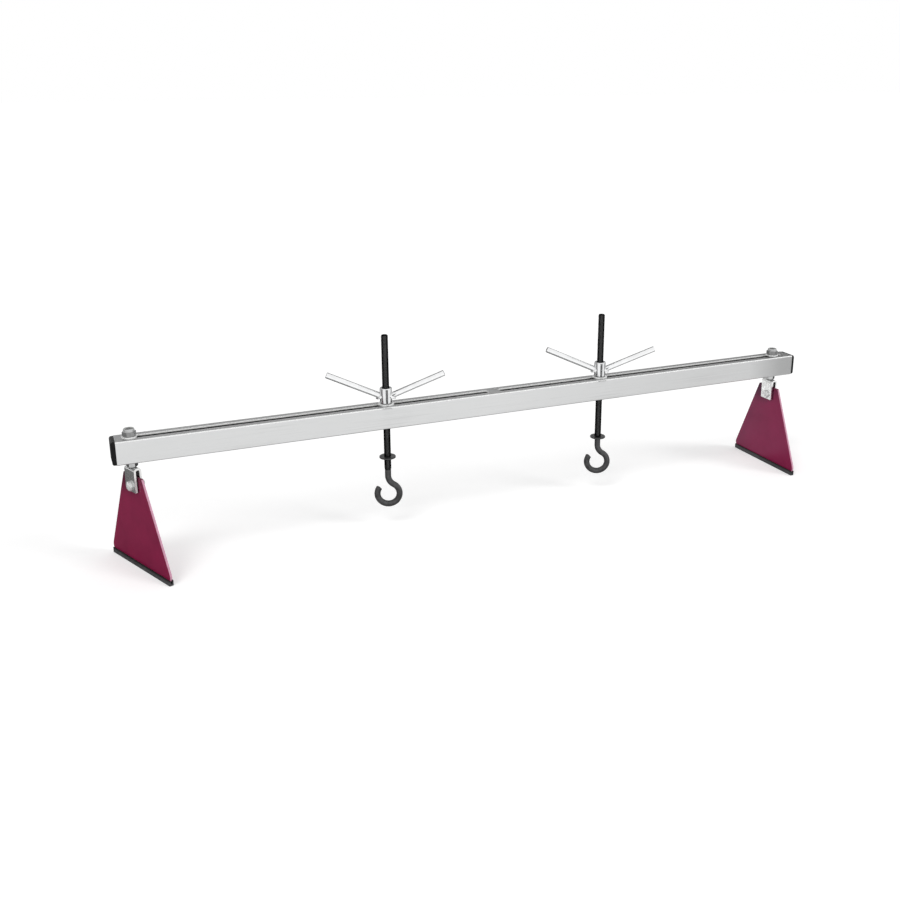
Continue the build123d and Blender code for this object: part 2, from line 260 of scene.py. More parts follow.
def above(level):
    """A test for edges that lie at a height or over it."""
    return lambda edge: all(vert.co.z > level - TOUCHING for vert in edge.verts)


def close_up(bm):
    """Merges seams and turns all faces outwards."""
    bmesh.ops.remove_doubles(bm, verts=bm.verts, dist=MERGED)
    bmesh.ops.recalc_face_normals(bm, faces=bm.faces)


def bevelled(bm, edges, radius, segments, clamp=False):
    bmesh.ops.bevel(
        bm, geom=edges, offset=radius, offset_type="OFFSET", segments=segments, profile=0.5,
        affect="EDGES", material=-1, clamp_overlap=clamp,
    )


def soften(bm, radius, segments=2, where=None):
    """Rounds the sharp edges, or those of them that a test picks."""
    sharp = [
        e
        for e in bm.edges
        if len(e.link_faces) == 2 and abs(e.calc_face_angle(0.0)) > SHARP and (where is None or where(e))
    ]
    bevelled(bm, sharp, radius, segments, clamp=True)


def drawn_out(bm, faces, way):
    """Extrudes faces and moves what has grown. Returns it."""
    grown = bmesh.ops.extrude_face_region(bm, geom=faces)["geom"]
    bmesh.ops.translate(bm, vec=way, verts=of_kind(grown, BMVert))
    return grown


def circle(bm, radius, segments, place=Matrix()):
    """An open circle about the Z axis of a place. Returns its vertices."""
    return bmesh.ops.create_circle(bm, cap_ends=False, radius=radius, segments=segments, matrix=place)["verts"]


def spun(bm, outline, steps=64):
    """Spins a closed outline of radius and height about Z."""
    verts = [bm.verts.new((radius, 0, z)) for radius, z in outline]
    edges = [bm.edges.new(pair) for pair in zip(verts, verts[1:] + verts[:1])]
    bmesh.ops.spin(
        bm, geom=verts + edges, cent=(0, 0, 0), axis=(0, 0, 1), angle=FULL_TURN, steps=steps, use_merge=True
    )
    close_up(bm)


def rounded_outline(bm, corners, radii):
    """A closed outline in a plane, with each corner spun to its radius. Returns its edges."""
    before = set(bm.edges)
    ends = []
    for index, (corner, radius) in enumerate(zip(corners, radii)):
        back = (Vector(corners[index - 1]) - Vector(corner)).normalized()
        onwards = (Vector(corners[(index + 1) % len(corners)]) - Vector(corner)).normalized()
        inside = back.angle(onwards)
        middle_way = (back + onwards).normalized()
        centre = Vector(corner) + middle_way * radius / math.sin(inside / 2)
        first = bm.verts.new(Vector(corner) + back * radius / math.tan(inside / 2))
        last = bmesh.ops.spin(
            bm, geom=[first], cent=centre, axis=onwards.cross(back), angle=math.pi - inside, steps=8,
            use_merge=False,
        )["geom_last"]
        ends.append((first, of_kind(last, BMVert)[0]))
    for index, (first, last) in enumerate(ends):
        bm.edges.new((last, ends[(index + 1) % len(ends)][0]))
    return [e for e in bm.edges if e not in before]


def sheet_from(bm, outline, thickness, way):
    """Fills an outline and its holes, and grows the sheet evenly to both sides of its plane."""
    filled = bmesh.ops.triangle_fill(bm, use_beauty=True, edges=outline)["geom"]
    drawn_out(bm, of_kind(filled, BMFace), Vector(way) * thickness)
    bmesh.ops.translate(bm, vec=Vector(way) * -thickness / 2, verts=bm.verts)
    close_up(bm)


def bridged(bm, loops):
    """Joins a row of loops with faces."""
    for first, second in zip(loops, loops[1:]):
        bmesh.ops.bridge_loops(bm, edges=first + second)
    close_up(bm)


def ring(bm, radius, z):
    """A loop about Z, whose radius and height may depend on the angle. Returns its edges."""
    loop = circle(bm, 1.0, 72)
    for vert in loop:
        turn = math.atan2(vert.co.y, vert.co.x)
        reach = radius(turn) if callable(radius) else radius
        vert.co = (reach * math.cos(turn), reach * math.sin(turn), z(turn) if callable(z) else z)
    return edges_of(loop)


def ringed(bm, outline, closed=True):
    """Joins rings of radius and height. Pairs are made singly and merged, so that flat steps don't twist."""
    following = outline[1:] + outline[:1] if closed else outline[1:]
    for first, second in zip(outline, following):
        bmesh.ops.bridge_loops(bm, edges=ring(bm, *first) + ring(bm, *second))
    close_up(bm)


def hexagon(flats):
    """Radius of a hexagon at an angle, with corners at 0, 60 and so on."""
    return lambda turn: flats / 2 / math.cos((turn % SIXTH_TURN) - SIXTH_TURN / 2)


def hex_rim(flats, face_z, sign):
    """Height of a hexagon's rim, where a cone cuts its corners back from a face."""
    shape = hexagon(flats)
    return lambda turn: face_z - sign * max(0.0, shape(turn) - NUT_RIM * flats) * NUT_RIM_SLOPE


def hex_outline(flats, bore, top):
    """Outline of a nut's hexagon: bore, lower face and both rims."""
    return [
        (bore, NUT_LEAD), (bore + NUT_LEAD, 0), (NUT_RIM * flats, 0),
        (hexagon(flats), hex_rim(flats, 0, -1)), (hexagon(flats), hex_rim(flats, top, 1)),
    ]


def plain_nut(flats, bore, top):
    """Outline of a nut that is the same on both faces."""
    return hex_outline(flats, bore, top) + [
        (NUT_RIM * flats, top), (bore + NUT_LEAD, top), (bore, top - NUT_LEAD)
    ]


def lock_nut(flats, bore, tall, collar):
    """Outline of a self-locking nut: a hexagon with a rolled collar, open inside for its nylon ring."""
    shoulder = tall - collar
    reach = flats / 2 - 0.001
    fillet = 0.0006
    lip_bore = bore + 0.0012
    lip_lead = 0.0003
    curl = min(0.0018, reach - lip_bore - 0.0004)
    outline = hex_outline(flats, bore, shoulder) + [(reach + fillet, shoulder), (reach, shoulder + fillet)]
    for degrees in range(0, 91, 18):
        roll = math.radians(degrees)
        outline.append((reach - curl * (1 - math.cos(roll)), tall - curl * (1 - math.sin(roll))))
    return outline + [
        (lip_bore + 0.0002, tall), (lip_bore, tall - lip_lead), (lip_bore, tall - 3 * lip_lead),
        (bore + NUT_GROOVE, tall - NUT_LIP), (bore + NUT_GROOVE, shoulder), (bore, shoulder),
    ]


def threaded(bm, diameter, pitch, foot, top, chamfer, steps=20):
    """A screw thread about Z, with a chamfered top and an open foot."""
    crest = diameter / 2
    root = crest - THREAD_DEPTH * pitch
    start = foot - pitch
    outline = ((root, 0.0), (root, 0.22), (crest, 0.52), (crest, 0.70), (root, 1.0))
    verts = [bm.verts.new((radius, 0, start + share * pitch)) for radius, share in outline]
    edges = [bm.edges.new(pair) for pair in zip(verts, verts[1:])]
    bmesh.ops.spin(
        bm, geom=verts + edges, cent=(0, 0, 0), axis=(0, 0, 1), dvec=(0, 0, pitch / steps),
        angle=FULL_TURN, steps=steps, use_merge=False,
    )
    turns = 1
    while start + turns * pitch < top:
        copied = bmesh.ops.duplicate(bm, geom=everything(bm))["geom"]
        bmesh.ops.translate(bm, vec=(0, 0, turns * pitch), verts=of_kind(copied, BMVert))
        turns *= 2
    bmesh.ops.remove_doubles(bm, verts=bm.verts, dist=2e-5)  # the copied turns meet less exactly
    for level, side in ((foot, -1), (top, 1)):
        bmesh.ops.bisect_plane(
            bm, geom=everything(bm), dist=CUT_MARGIN, plane_co=(0, 0, level), plane_no=(0, 0, side),
            clear_outer=True,
        )
    bmesh.ops.recalc_face_normals(bm, faces=bm.faces)
    for vert in bm.verts:
        reach = math.hypot(vert.co.x, vert.co.y)
        most = crest - max(0.0, vert.co.z - top + chamfer)
        if reach > most:
            vert.co.x *= most / reach
            vert.co.y *= most / reach
    bmesh.ops.holes_fill(bm, edges=open_edges(bm, top), sides=0)


def mark_turning(bm):
    """Stores how far each vertex is from the Z axis, which the turned finishes read."""
    layer = bm.verts.layers.float.new("from_axis")
    for vert in bm.verts:
        vert[layer] = math.hypot(vert.co.x, vert.co.y)


def piece(name, bm, body, finishes, nodes, place):
    """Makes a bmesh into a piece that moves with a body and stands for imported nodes."""
    bmesh.ops.transform(bm, matrix=place, verts=bm.verts)
    mesh = bpy.data.meshes.new(name)
    bm.to_mesh(mesh)
    bm.free()
    for finish_name in finishes:
        mesh.materials.append(known(finish_name))
    mesh.shade_smooth()
    mesh.set_sharp_from_angle(angle=CREASE)
    made = bpy.data.objects.new(name, mesh)
    bpy.context.scene.collection.objects.link(made)
    made.modifiers.new("Even shading", "WEIGHTED_NORMAL").keep_sharp = True
    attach(made, body)
    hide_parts(*nodes)


# Shader parts


def add_node(tree, kind, sockets=None, **settings):
    node = tree.nodes.new(kind)
    for key, value in settings.items():
        setattr(node, key, value)
    for key, value in (sockets or {}).items():
        if isinstance(value, bpy.types.NodeSocket):
            tree.links.new(value, node.inputs[key])
        else:
            node.inputs[key].default_value = value
    return node


def object_point(tree, scale=EVEN):
    place = add_node(tree, "ShaderNodeTexCoord").outputs["Object"]
    return add_node(tree, "ShaderNodeMapping", {"Vector": place, "Scale": scale}).outputs["Vector"]


def object_axes(tree):
    return add_node(tree, "ShaderNodeSeparateXYZ", {"Vector": object_point(tree)}).outputs


def from_axis(tree):
    return add_node(tree, "ShaderNodeAttribute", attribute_name="from_axis").outputs["Fac"]


def grain(tree, scale, stretch=EVEN, detail=3.0, rough=0.55):
    point = object_point(tree, stretch)
    return add_node(
        tree, "ShaderNodeTexNoise", {"Vector": point, "Scale": scale, "Detail": detail, "Roughness": rough}
    ).outputs["Fac"]


def worked(tree, operation, first, second):
    return add_node(tree, "ShaderNodeMath", {0: first, 1: second}, operation=operation).outputs[0]


def blended(tree, share, first, second):
    return add_node(tree, "ShaderNodeMix", {0: share, 2: first, 3: second}).outputs[0]


def spread(tree, value, low, high, start=0.3, end=0.7):
    """Maps a pattern's useful middle range to two values."""
    return add_node(
        tree, "ShaderNodeMapRange",
        {"Value": value, "From Min": start, "From Max": end, "To Min": low, "To Max": high},
    ).outputs["Result"]


def tinted(tree, value, tone, low, high, start=0.3, end=0.7):
    """A colour that goes from low to high times a tone as a pattern rises."""
    ramp = add_node(tree, "ShaderNodeValToRGB", {"Fac": value})
    for element, position, share in zip(ramp.color_ramp.elements, (start, end), (low, high)):
        element.position = position
        element.color = [min(1.0, c * share) for c in tone] + [1.0]
    return ramp.outputs["Color"]


def dimmed(tree, tint, share):
    return add_node(tree, "ShaderNodeHueSaturation", {"Color": tint, "Value": share}).outputs["Color"]


def raised(tree, value, strength, distance):
    return add_node(
        tree, "ShaderNodeBump", {"Height": value, "Strength": strength, "Distance": distance}
    ).outputs["Normal"]


def finish(name, settings):
    """A named material, and its tree and shader. Constant sockets are set here."""
    material = bpy.data.materials.new(f"{name}_finish")
    material.use_nodes = True
    tree = material.node_tree
    shader = tree.nodes["Principled BSDF"]
    for key, value in settings.items():
        shader.inputs[key].default_value = value
    return material, tree, shader


def join(tree, shader, **links):
    for key, socket in links.items():
        tree.links.new(socket, shader.inputs[key.replace("_", " ")])


def tone_of(name):
    return getattr(bpy.context.scene.support_bar_colours, name)


def grained(name, settings, clouds, shades, roughness, relief, marks=None):
    """A finish whose clouds vary its tone and roughness. Its marks raise it, or else its clouds do."""
    material, tree, shader = finish(name, settings)
    cloud = grain(tree, *clouds)
    join(
        tree, shader,
        Base_Color=tinted(tree, cloud, tone_of(name), *shades),
        Roughness=spread(tree, cloud, *roughness),
        Normal=raised(tree, grain(tree, *marks) if marks else cloud, *relief),
    )
    return material


def turned(name, metallic, rings, clouds, shades, roughness, relief):
    """A finish whose clouds vary its tone, with the rings of a turned face."""
    material, tree, shader = finish(name, {"Metallic": metallic})
    lines = add_node(
        tree, "ShaderNodeTexNoise", {"W": from_axis(tree), "Scale": rings, "Detail": 2.0}, noise_dimensions="1D"
    ).outputs["Fac"]
    join(
        tree, shader,
        Base_Color=tinted(tree, grain(tree, *clouds), tone_of(name), *shades),
        Roughness=spread(tree, lines, *roughness),
        Normal=raised(tree, lines, *relief),
    )
    return material


# Finishes


def tube_zinc(name):
    """Satin zinc on drawn tube: streaks along it, soft clouds, a few rub marks, and painted shade that darkens it
    towards its right end.
    """
    material, tree, shader = finish(name, {"Metallic": 1.0, "Specular Tint": (0.6, 0.6, 0.6, 1.0)})
    streaks = grain(tree, 1.0, (5, 420, 420), 4.0, 0.65)
    clouds = grain(tree, 9.0, (0.6, 1, 1), 4.0)
    both = worked(tree, "ADD", streaks, clouds)
    rubs = grain(tree, 1.0, (14, 900, 60), 2.0, 0.4)
    along = object_axes(tree)["X"]
    # Painted shade: the plate darkens along the tube, and more near its right end, standing in for darker
    # reflections there.
    painted_shade_along = spread(tree, along, 1.0, 0.88, 0.0, 0.500)
    painted_shade_at_end = spread(tree, along, 1.0, 0.70, 0.630, 0.720)
    plate = tinted(tree, both, tone_of(name), 0.93, 1.05, 0.75, 1.25)
    join(
        tree, shader,
        Base_Color=dimmed(tree, plate, worked(tree, "MULTIPLY", painted_shade_along, painted_shade_at_end)),
        Roughness=spread(tree, both, 0.30, 0.42, 0.75, 1.25),
        Normal=raised(tree, rubs, 0.08, 0.0002),
    )
    return material


def cut_zinc(name):
    """Walls that were cut before the plating: pale, with lines across the wall; on the left fork's edges the
    paleness is a painted highlight.
    """
    return grained(
        name, {"Metallic": 0.15, "Specular IOR Level": 0.3}, clouds=(1.0, (1500, 60, 40), 3.0),
        shades=(0.92, 1.04), roughness=(0.60, 0.75), relief=(0.10, 0.0002),
    )


def edge_zinc(name):
    """Zinc painted pale and smoother along an edge as a highlight, with fine marks where things were drawn over
    it.
    """
    return grained(
        name, {"Metallic": 0.5}, clouds=(90.0, EVEN, 4.0), marks=(1100.0, EVEN, 2.0),
        shades=(0.93, 1.03), roughness=(0.20, 0.32), relief=(0.06, 0.0002),
    )


def bright_zinc(name):
    """Bright zinc plate with faint clouding and fine polishing grain."""
    return grained(
        name, {"Metallic": 1.0, "Specular Tint": (0.3, 0.3, 0.3, 1.0)},
        clouds=(70.0, EVEN, 4.0), marks=(900.0, EVEN, 2.0),
        shades=(0.92, 1.04), roughness=(0.10, 0.17), relief=(0.06, 0.0002),
    )


def fitting_zinc(name):
    """Zinc plate on fasteners: dull spots in the recesses, brighter where tools touched it."""
    return grained(
        name, {"Metallic": 1.0, "Specular Tint": (0.4, 0.4, 0.4, 1.0)},
        clouds=(160.0, EVEN, 5.0), marks=(1400.0, EVEN, 2.0),
        shades=(0.86, 1.06), roughness=(0.30, 0.18), relief=(0.08, 0.0002),
    )


def turned_zinc(name):
    """Pale zinc plate over the rings of a turned or stamped face."""
    return turned(
        name, 0.4, rings=2600.0, clouds=(180.0, EVEN, 3.0),
        shades=(0.92, 1.10), roughness=(0.20, 0.34), relief=(0.10, 0.0002),
    )


def disc_steel(name):
    """Dark steel with the rings of its turning."""
    return turned(
        name, 0.8, rings=2200.0, clouds=(150.0, EVEN, 5.0),
        shades=(0.7, 1.3), roughness=(0.28, 0.44), relief=(0.12, 0.0002),
    )


def black_thread(name):
    """Blackened thread with its crests painted lighter, partly wear and partly a painted highlight."""
    material, tree, shader = finish(name, {"Metallic": 0.0, "IOR": 2.0})
    reach = from_axis(tree)
    crests = spread(tree, reach, 0.0, 0.75, 0.0065, 0.00705)
    patches = grain(tree, 220.0, (1, 1, 0.3), 4.0)
    # Crests painted lighter: partly wear, partly a painted highlight.
    crest_wear_and_highlight = worked(tree, "MULTIPLY", crests, patches)
    facing = add_node(tree, "ShaderNodeLayerWeight", {"Blend": 0.5}).outputs["Facing"]
    turned_away = spread(tree, facing, 1.0, 0.0, 0.05, 0.30)
    polish = spread(tree, reach, 0.08, 1.0, 0.0062, 0.0068)
    join(
        tree, shader,
        Specular_IOR_Level=worked(tree, "MULTIPLY", turned_away, polish),
        Base_Color=tinted(tree, crest_wear_and_highlight, tone_of("black_oxide"), 0.9, 2.0, 0.25, 0.65),
        Roughness=spread(tree, patches, 0.34, 0.52),
        Normal=raised(tree, patches, 0.05, 0.0002),
    )
    return material


def hook_steel(name):
    """Dark bar, bent hot: scale patches and a dull sheen."""
    return grained(
        name, {"Metallic": 0.7}, clouds=(120.0, EVEN, 6.0, 0.65), marks=(700.0, EVEN, 3.0),
        shades=(0.6, 1.35), roughness=(0.34, 0.52), relief=(0.16, 0.0003),
    )


def foot_paint(name):
    """Semi-gloss enamel with a slight peel and uneven depth, with painted shade near the top and in a band along
    the fork's front edge, and a painted shadow at the back of the fork.
    """
    material, tree, shader = finish(name, {"Specular IOR Level": 0.45, "Specular Tint": (0.6, 0.55, 1.0, 1.0)})
    depth = grain(tree, 22.0, EVEN, 4.0)
    peel = grain(tree, 420.0, EVEN, 2.0)
    at = object_axes(tree)
    # Painted shade: darker towards the top, as the shade of the beam and the fork, and darker again in a band
    # along the fork's front edge.
    painted_top_shade = spread(tree, at["Z"], 1.0, 0.65, 0.165, 0.187)
    beside = spread(tree, at["Y"], 0.0, 1.0, -0.0225, -0.0180)
    painted_crevice_shade = spread(tree, at["Z"], 1.0, 0.35, 0.157, 0.160)
    front = worked(tree, "MULTIPLY", painted_top_shade, blended(tree, beside, 1.0, painted_crevice_shade))
    # Painted shadow: darker towards the top at the back of the fork, blended in across the fork.
    back = spread(tree, at["Z"], 1.0, 0.30, 0.138, 0.176)
    back_of_fork_shadow_mask = spread(tree, at["Y"], 0.0, 1.0, -0.004, 0.012)
    coat = tinted(tree, depth, tone_of(name), 0.90, 1.08)
    join(
        tree, shader,
        Base_Color=dimmed(tree, coat, blended(tree, back_of_fork_shadow_mask, front, back)),
        Roughness=spread(tree, depth, 0.40, 0.30),
        Normal=raised(tree, peel, 0.05, 0.0004),
    )
    return material


def thin_paint(name):
    """Enamel drawn thin over the plates' cut edges, where the pale primer shows, made paler still as a painted
    highlight.
    """
    return grained(
        name, {"Specular IOR Level": 0.5}, clouds=(130.0, EVEN, 4.0),
        shades=(0.85, 1.12), roughness=(0.32, 0.45), relief=(0.06, 0.0003),
    )


def sole_rubber(name):
    """Extruded rubber: matt, with fine lines along it, lighter low down and darker along its top lip."""
    material, tree, shader = finish(name, {"Specular IOR Level": 0.4})
    dust = grain(tree, 90.0, EVEN, 6.0, 0.7)
    lines = grain(tree, 1.0, (900, 40, 900), 3.0)
    # Lighter low down and darker towards the top lip.
    tone_by_height = spread(tree, object_axes(tree)["Z"], 2.4, 0.45, 0.0068, 0.0090)
    join(
        tree, shader,
        Base_Color=dimmed(tree, tinted(tree, dust, tone_of(name), 0.75, 1.5), tone_by_height),
        Roughness=spread(tree, dust, 0.55, 0.75),
        Normal=raised(tree, lines, 0.12, 0.0003),
    )
    return material


def cap_plastic(name):
    """Moulded plastic with a fine leather-like grain."""
    material, tree, shader = finish(name, {"Specular IOR Level": 0.1})
    cloud = grain(tree, 60.0, EVEN, 3.0)
    point = object_point(tree)
    pebbles = add_node(tree, "ShaderNodeTexVoronoi", {"Vector": point, "Scale": 900.0}).outputs["Distance"]
    join(
        tree, shader,
        Base_Color=tinted(tree, cloud, tone_of(name), 0.85, 1.25),
        Roughness=spread(tree, cloud, 0.34, 0.46),
        Normal=raised(tree, pebbles, 0.06, 0.0003),
    )
    return material


def nylon(name):
    """Milky nylon ring."""
    return grained(
        name, {"Subsurface Weight": 0.15, "Subsurface Radius": (0.001, 0.001, 0.001)}, clouds=(500.0, EVEN, 3.0),
        shades=(0.92, 1.04), roughness=(0.38, 0.5), relief=(0.05, 0.0002),
    )


FINISHES = {
    "tube_zinc": tube_zinc,
    "cut_zinc": cut_zinc,
    "edge_zinc": edge_zinc,
    "bright_zinc": bright_zinc,
    "hub_zinc": bright_zinc,
    "fitting_zinc": fitting_zinc,
    "fork_zinc": fitting_zinc,
    "nut_zinc": turned_zinc,
    "collar_zinc": turned_zinc,
    "washer_zinc": turned_zinc,
    "disc_steel": disc_steel,
    "black_thread": black_thread,
    "hook_steel": hook_steel,
    "foot_paint": foot_paint,
    "thin_paint": thin_paint,
    "sole_rubber": sole_rubber,
    "cap_plastic": cap_plastic,
    "nylon": nylon,
}


def known(name):
    """A finish by its name, made at its first use."""
    return bpy.data.materials.get(f"{name}_finish") or FINISHES[name](name)


# Pieces


class SUPPORTBAR_OT_beam(bpy.types.Operator):
    """Square tube with two long slots through its top and bottom walls"""

    bl_idname = "support_bar.beam"
    bl_label = "Beam tube"

    def execute(self, context):
        sizes = context.scene.support_bar_sizes
        low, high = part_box("beam_tube")
        span = high - low
        bm = bmesh.new()
        self.tube(sizes, bm, span)
        self.slots(sizes, bm, span)
        soften(bm, sizes.edge_radius)
        self.dress(sizes, bm, span)
        piece(
            "beam", bm, "beam", ["tube_zinc", "cut_zinc", "edge_zinc", "hook_steel"], ["beam_tube"],
            Matrix.Translation((low + high) / 2),
        )
        return {"FINISHED"}

    def tube(self, sizes, bm, span):
        """An outer and an inner skin, joined at both ends."""
        for inset, corner, segments in (
            (0.0, sizes.tube_corner_radius, 8),
            (sizes.tube_wall, sizes.tube_bore_radius, 3),
        ):
            side = span.z - 2 * inset
            box = bmesh.ops.create_cube(bm, size=1.0)["verts"]
            bmesh.ops.scale(bm, vec=(span.x, side, side), verts=box)
            long_edges = [e for e in edges_of(box) if abs(e.verts[0].co.x - e.verts[1].co.x) > 0.5 * span.x]
            bevelled(bm, long_edges, corner, segments)
        ends = [f for f in bm.faces if abs(f.normal.x) > 0.9]
        bmesh.ops.delete(bm, geom=ends, context="FACES_ONLY")
        for end in (-span.x / 2, span.x / 2):
            rims = [e for e in bm.edges if all(abs(v.co.x - end) < TOUCHING for v in e.verts)]
            bmesh.ops.triangle_fill(bm, use_beauty=True, edges=rims)

    def slots(self, sizes, bm, span):
        """Cuts both slots out of the flat walls and lines them, with rounded outer rims."""
        half_length = (span.x / 2 - sizes.slot_end_margin - sizes.slot_bridge / 2) / 2
        slot_middle = sizes.slot_bridge / 2 + half_length
        half_width, rim = sizes.slot_width / 2, sizes.slot_rim
        straight = half_length - half_width
        flats = [f for f in bm.faces if abs(f.normal.z) > 0.999 and f.calc_area() > 0.01]
        outlines = [(f.calc_center_median().z, list(f.edges)) for f in flats]
        bmesh.ops.delete(bm, geom=flats, context="FACES_ONLY")
        cuts = {}
        for z, outline in outlines:
            outer = abs(z) > (span.z - sizes.tube_wall) / 2
            for sign in (-1, 1):
                cut = self.slot_loop(bm, half_width + rim * outer, straight, sign * slot_middle, z)
                cuts[z > 0, sign, outer] = cut
                outline += cut
            bmesh.ops.triangle_fill(bm, use_beauty=True, use_dissolve=False, edges=outline)
        for up in (-1, 1):
            for sign in (-1, 1):
                loops = [cuts[up > 0, sign, True]]
                for degrees in range(15, 91, 15):
                    roll = math.radians(degrees)
                    wide = half_width + rim * (1 - math.sin(roll))
                    z = up * (span.z / 2 - rim * (1 - math.cos(roll)))
                    loops.append(self.slot_loop(bm, wide, straight, sign * slot_middle, z))
                bridged(bm, loops + [cuts[up > 0, sign, False]])

    def slot_loop(self, bm, half_width, straight, along, z):
        """A circle drawn apart to a slot's outline. Returns its edges."""
        segments = 48
        cut = circle(bm, half_width, segments, Matrix.Rotation(math.pi / segments, 4, "Z"))
        for vert in cut:
            vert.co.x += math.copysign(straight, vert.co.x) + along
            vert.co.z = z
        return edges_of(cut)

    def dress(self, sizes, bm, span):
        """Sets apart the cut walls of the slots, the upper corners and rims painted pale as a highlight, and the
        bore painted dark as shade.
        """
        half, wall, rim = span.z / 2, sizes.tube_wall, sizes.slot_rim
        for face in bm.faces:
            at = face.calc_center_median()
            off_middle = max(abs(at.y), abs(at.z))
            steep = abs(face.normal.z)
            along_slot = abs(at.x) < span.x / 2 - sizes.slot_end_margin + rim
            in_slot = along_slot and abs(at.y) < sizes.slot_width / 2 + rim
            in_wall = half - wall < abs(at.z) < half - rim
            on_corner = min(at.z, abs(at.y)) > half - sizes.tube_corner_radius
            # Painted shade: the bore takes the dark hooks' steel, so the slots show a dark inside.
            if off_middle < half - wall + TOUCHING:
                face.material_index = 3
            elif in_slot and in_wall and steep < 0.8:
                face.material_index = 1
            # Painted highlight: the rounded upper corners and the slots' rims take the pale edge finish.
            elif 0.1 < steep < 0.995 and (on_corner or in_slot):
                face.material_index = 2


class SUPPORTBAR_OT_end_caps(bpy.types.Operator):
    """Moulded caps with a rounded rim and a hollow plug"""

    bl_idname = "support_bar.end_caps"
    bl_label = "End caps"

    def execute(self, context):
        sizes = context.scene.support_bar_sizes
        tube_low, tube_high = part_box("beam_tube")
        bore = tube_high.z - tube_low.z - 2 * sizes.tube_wall
        plug_width = bore - 2 * sizes.cap_plug_gap
        dome = 0.0004
        for side, sign in zip(SIDES, (-1, 1)):
            node = f"end_cap_{side}"
            low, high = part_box(node)
            seat = tube_low.x if sign < 0 else tube_high.x
            outside = (high.x - seat) if sign > 0 else (seat - low.x)
            plug = high.x - low.x - outside
            flange = outside - dome
            bm = bmesh.new()
            body = bmesh.ops.create_cube(bm, size=1.0)["verts"]
            bmesh.ops.scale(bm, vec=(high.y - low.y, high.z - low.z, flange), verts=body)
            bmesh.ops.translate(bm, vec=(0, 0, flange / 2), verts=body)
            upright = [e for e in bm.edges if abs(e.verts[0].co.z - e.verts[1].co.z) > flange / 2]
            bevelled(bm, upright, sizes.cap_corner_radius, 8)
            soften(bm, sizes.cap_edge_radius, 6, above(flange))
            top = max(bm.faces, key=lambda f: f.calc_center_median().z)
            for share in (0.65, 0.5):
                top = self.stepped(bm, top, share, dome / 2)
            foot = min(bm.faces, key=lambda f: f.calc_center_median().z)
            for share, rise in (
                (plug_width / (high.y - low.y), 0),  # seat
                (1, -plug),  # plug
                (1 - 2 * sizes.cap_plug_wall / plug_width, 0),  # wall
                (1, 0.9 * plug),  # hollow
            ):
                foot = self.stepped(bm, foot, share, rise)
            close_up(bm)
            outwards = Matrix.Rotation(sign * QUARTER_TURN, 4, "Y")
            place = Matrix.Translation((seat, 0, (low.z + high.z) / 2)) @ outwards
            piece(f"{side}_end_cap", bm, "beam", ["cap_plastic"], [node], place)
        return {"FINISHED"}

    def stepped(self, bm, face, share, rise):
        """Grows a face along Z, drawn in about the axis to a share of its size. Returns the new face."""
        grown = drawn_out(bm, [face], (0, 0, rise))
        bmesh.ops.scale(bm, vec=(share, share, 1), verts=of_kind(grown, BMVert))
        bmesh.ops.delete(bm, geom=[face], context="FACES_ONLY")
        return of_kind(grown, BMFace)[0]


class SUPPORTBAR_OT_plates(bpy.types.Operator):
    """Painted plates that stand on rubber soles"""

    bl_idname = "support_bar.plates"
    bl_label = "Foot plates and soles"

    def execute(self, context):
        sizes = context.scene.support_bar_sizes
        for side in SIDES:
            self.plate(sizes, side)
            self.sole(sizes, side)
        return {"FINISHED"}

    def plate(self, sizes, side):
        node = f"{side}_foot_plate"
        low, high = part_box(node)
        half_foot = sizes.plate_foot_width / 2
        half_top = sizes.plate_top_width / 2
        bm = bmesh.new()
        outline = rounded_outline(
            bm,
            ((0, -half_foot, low.z), (0, half_foot, low.z), (0, half_top, high.z), (0, -half_top, high.z)),
            (sizes.plate_foot_radius,) * 2 + (sizes.plate_top_radius,) * 2,
        )
        pin = Matrix.Translation((0, 0, middle(f"{side}_pin_bolt").z)) @ Matrix.Rotation(QUARTER_TURN, 4, "Y")
        hole = circle(bm, sizes.pin_diameter / 2 + PIN_PLAY, 32, pin)
        sheet_from(bm, outline + edges_of(hole), sizes.plate_thickness, (1, 0, 0))
        soften(bm, 1.5 * sizes.edge_radius, 3)
        # The sloping edges take the pale edge enamel, partly thin paint and partly a painted highlight; faces and
        # the top edge keep the plain enamel.
        for face in bm.faces:
            face.material_index = 0 if abs(face.normal.x) > 0.8 or face.normal.z > 0.8 else 1
        piece(
            f"{side}_plate", bm, f"{side}_foot", ["foot_paint", "thin_paint"], [node],
            foot_place(side),
        )

    def sole(self, sizes, side):
        node = f"{side}_rubber_sole"
        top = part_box(node)[1].z
        plate_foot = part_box(f"{side}_foot_plate")[0].z
        slot = sizes.plate_thickness / 2
        slot_edge = slot + 0.0002
        reach = slot + sizes.sole_lip
        least, most = span_along(node, foot_place(side).to_3x3().col[1])
        bm = bmesh.new()
        profile = (
            (-reach, 0), (reach, 0), (reach, top), (slot, top), (slot, plate_foot), (-slot, plate_foot),
            (-slot, top), (-reach, top),
        )
        face = bm.faces.new([bm.verts.new((x, (least - most) / 2, z)) for x, z in profile])
        drawn_out(bm, [face], (0, most - least, 0))
        close_up(bm)

        def at_corner(edge):
            first, second = (vert.co for vert in edge.verts)
            return abs(first.z - second.z) > 0.8 * top and abs(first.x) > 0.9 * reach

        def outside(edge):
            spots = [vert.co for vert in edge.verts]
            return all(abs(spot.x) > slot_edge for spot in spots) or all(spot.z < TOUCHING for spot in spots)

        soften(bm, sizes.sole_end_radius, 5, at_corner)
        soften(bm, radius=0.0007, segments=3, where=outside)
        bmesh.ops.dissolve_degenerate(bm, dist=MERGED, edges=bm.edges)
        piece(f"{side}_sole", bm, f"{side}_foot", ["sole_rubber"], [node], foot_place(side))


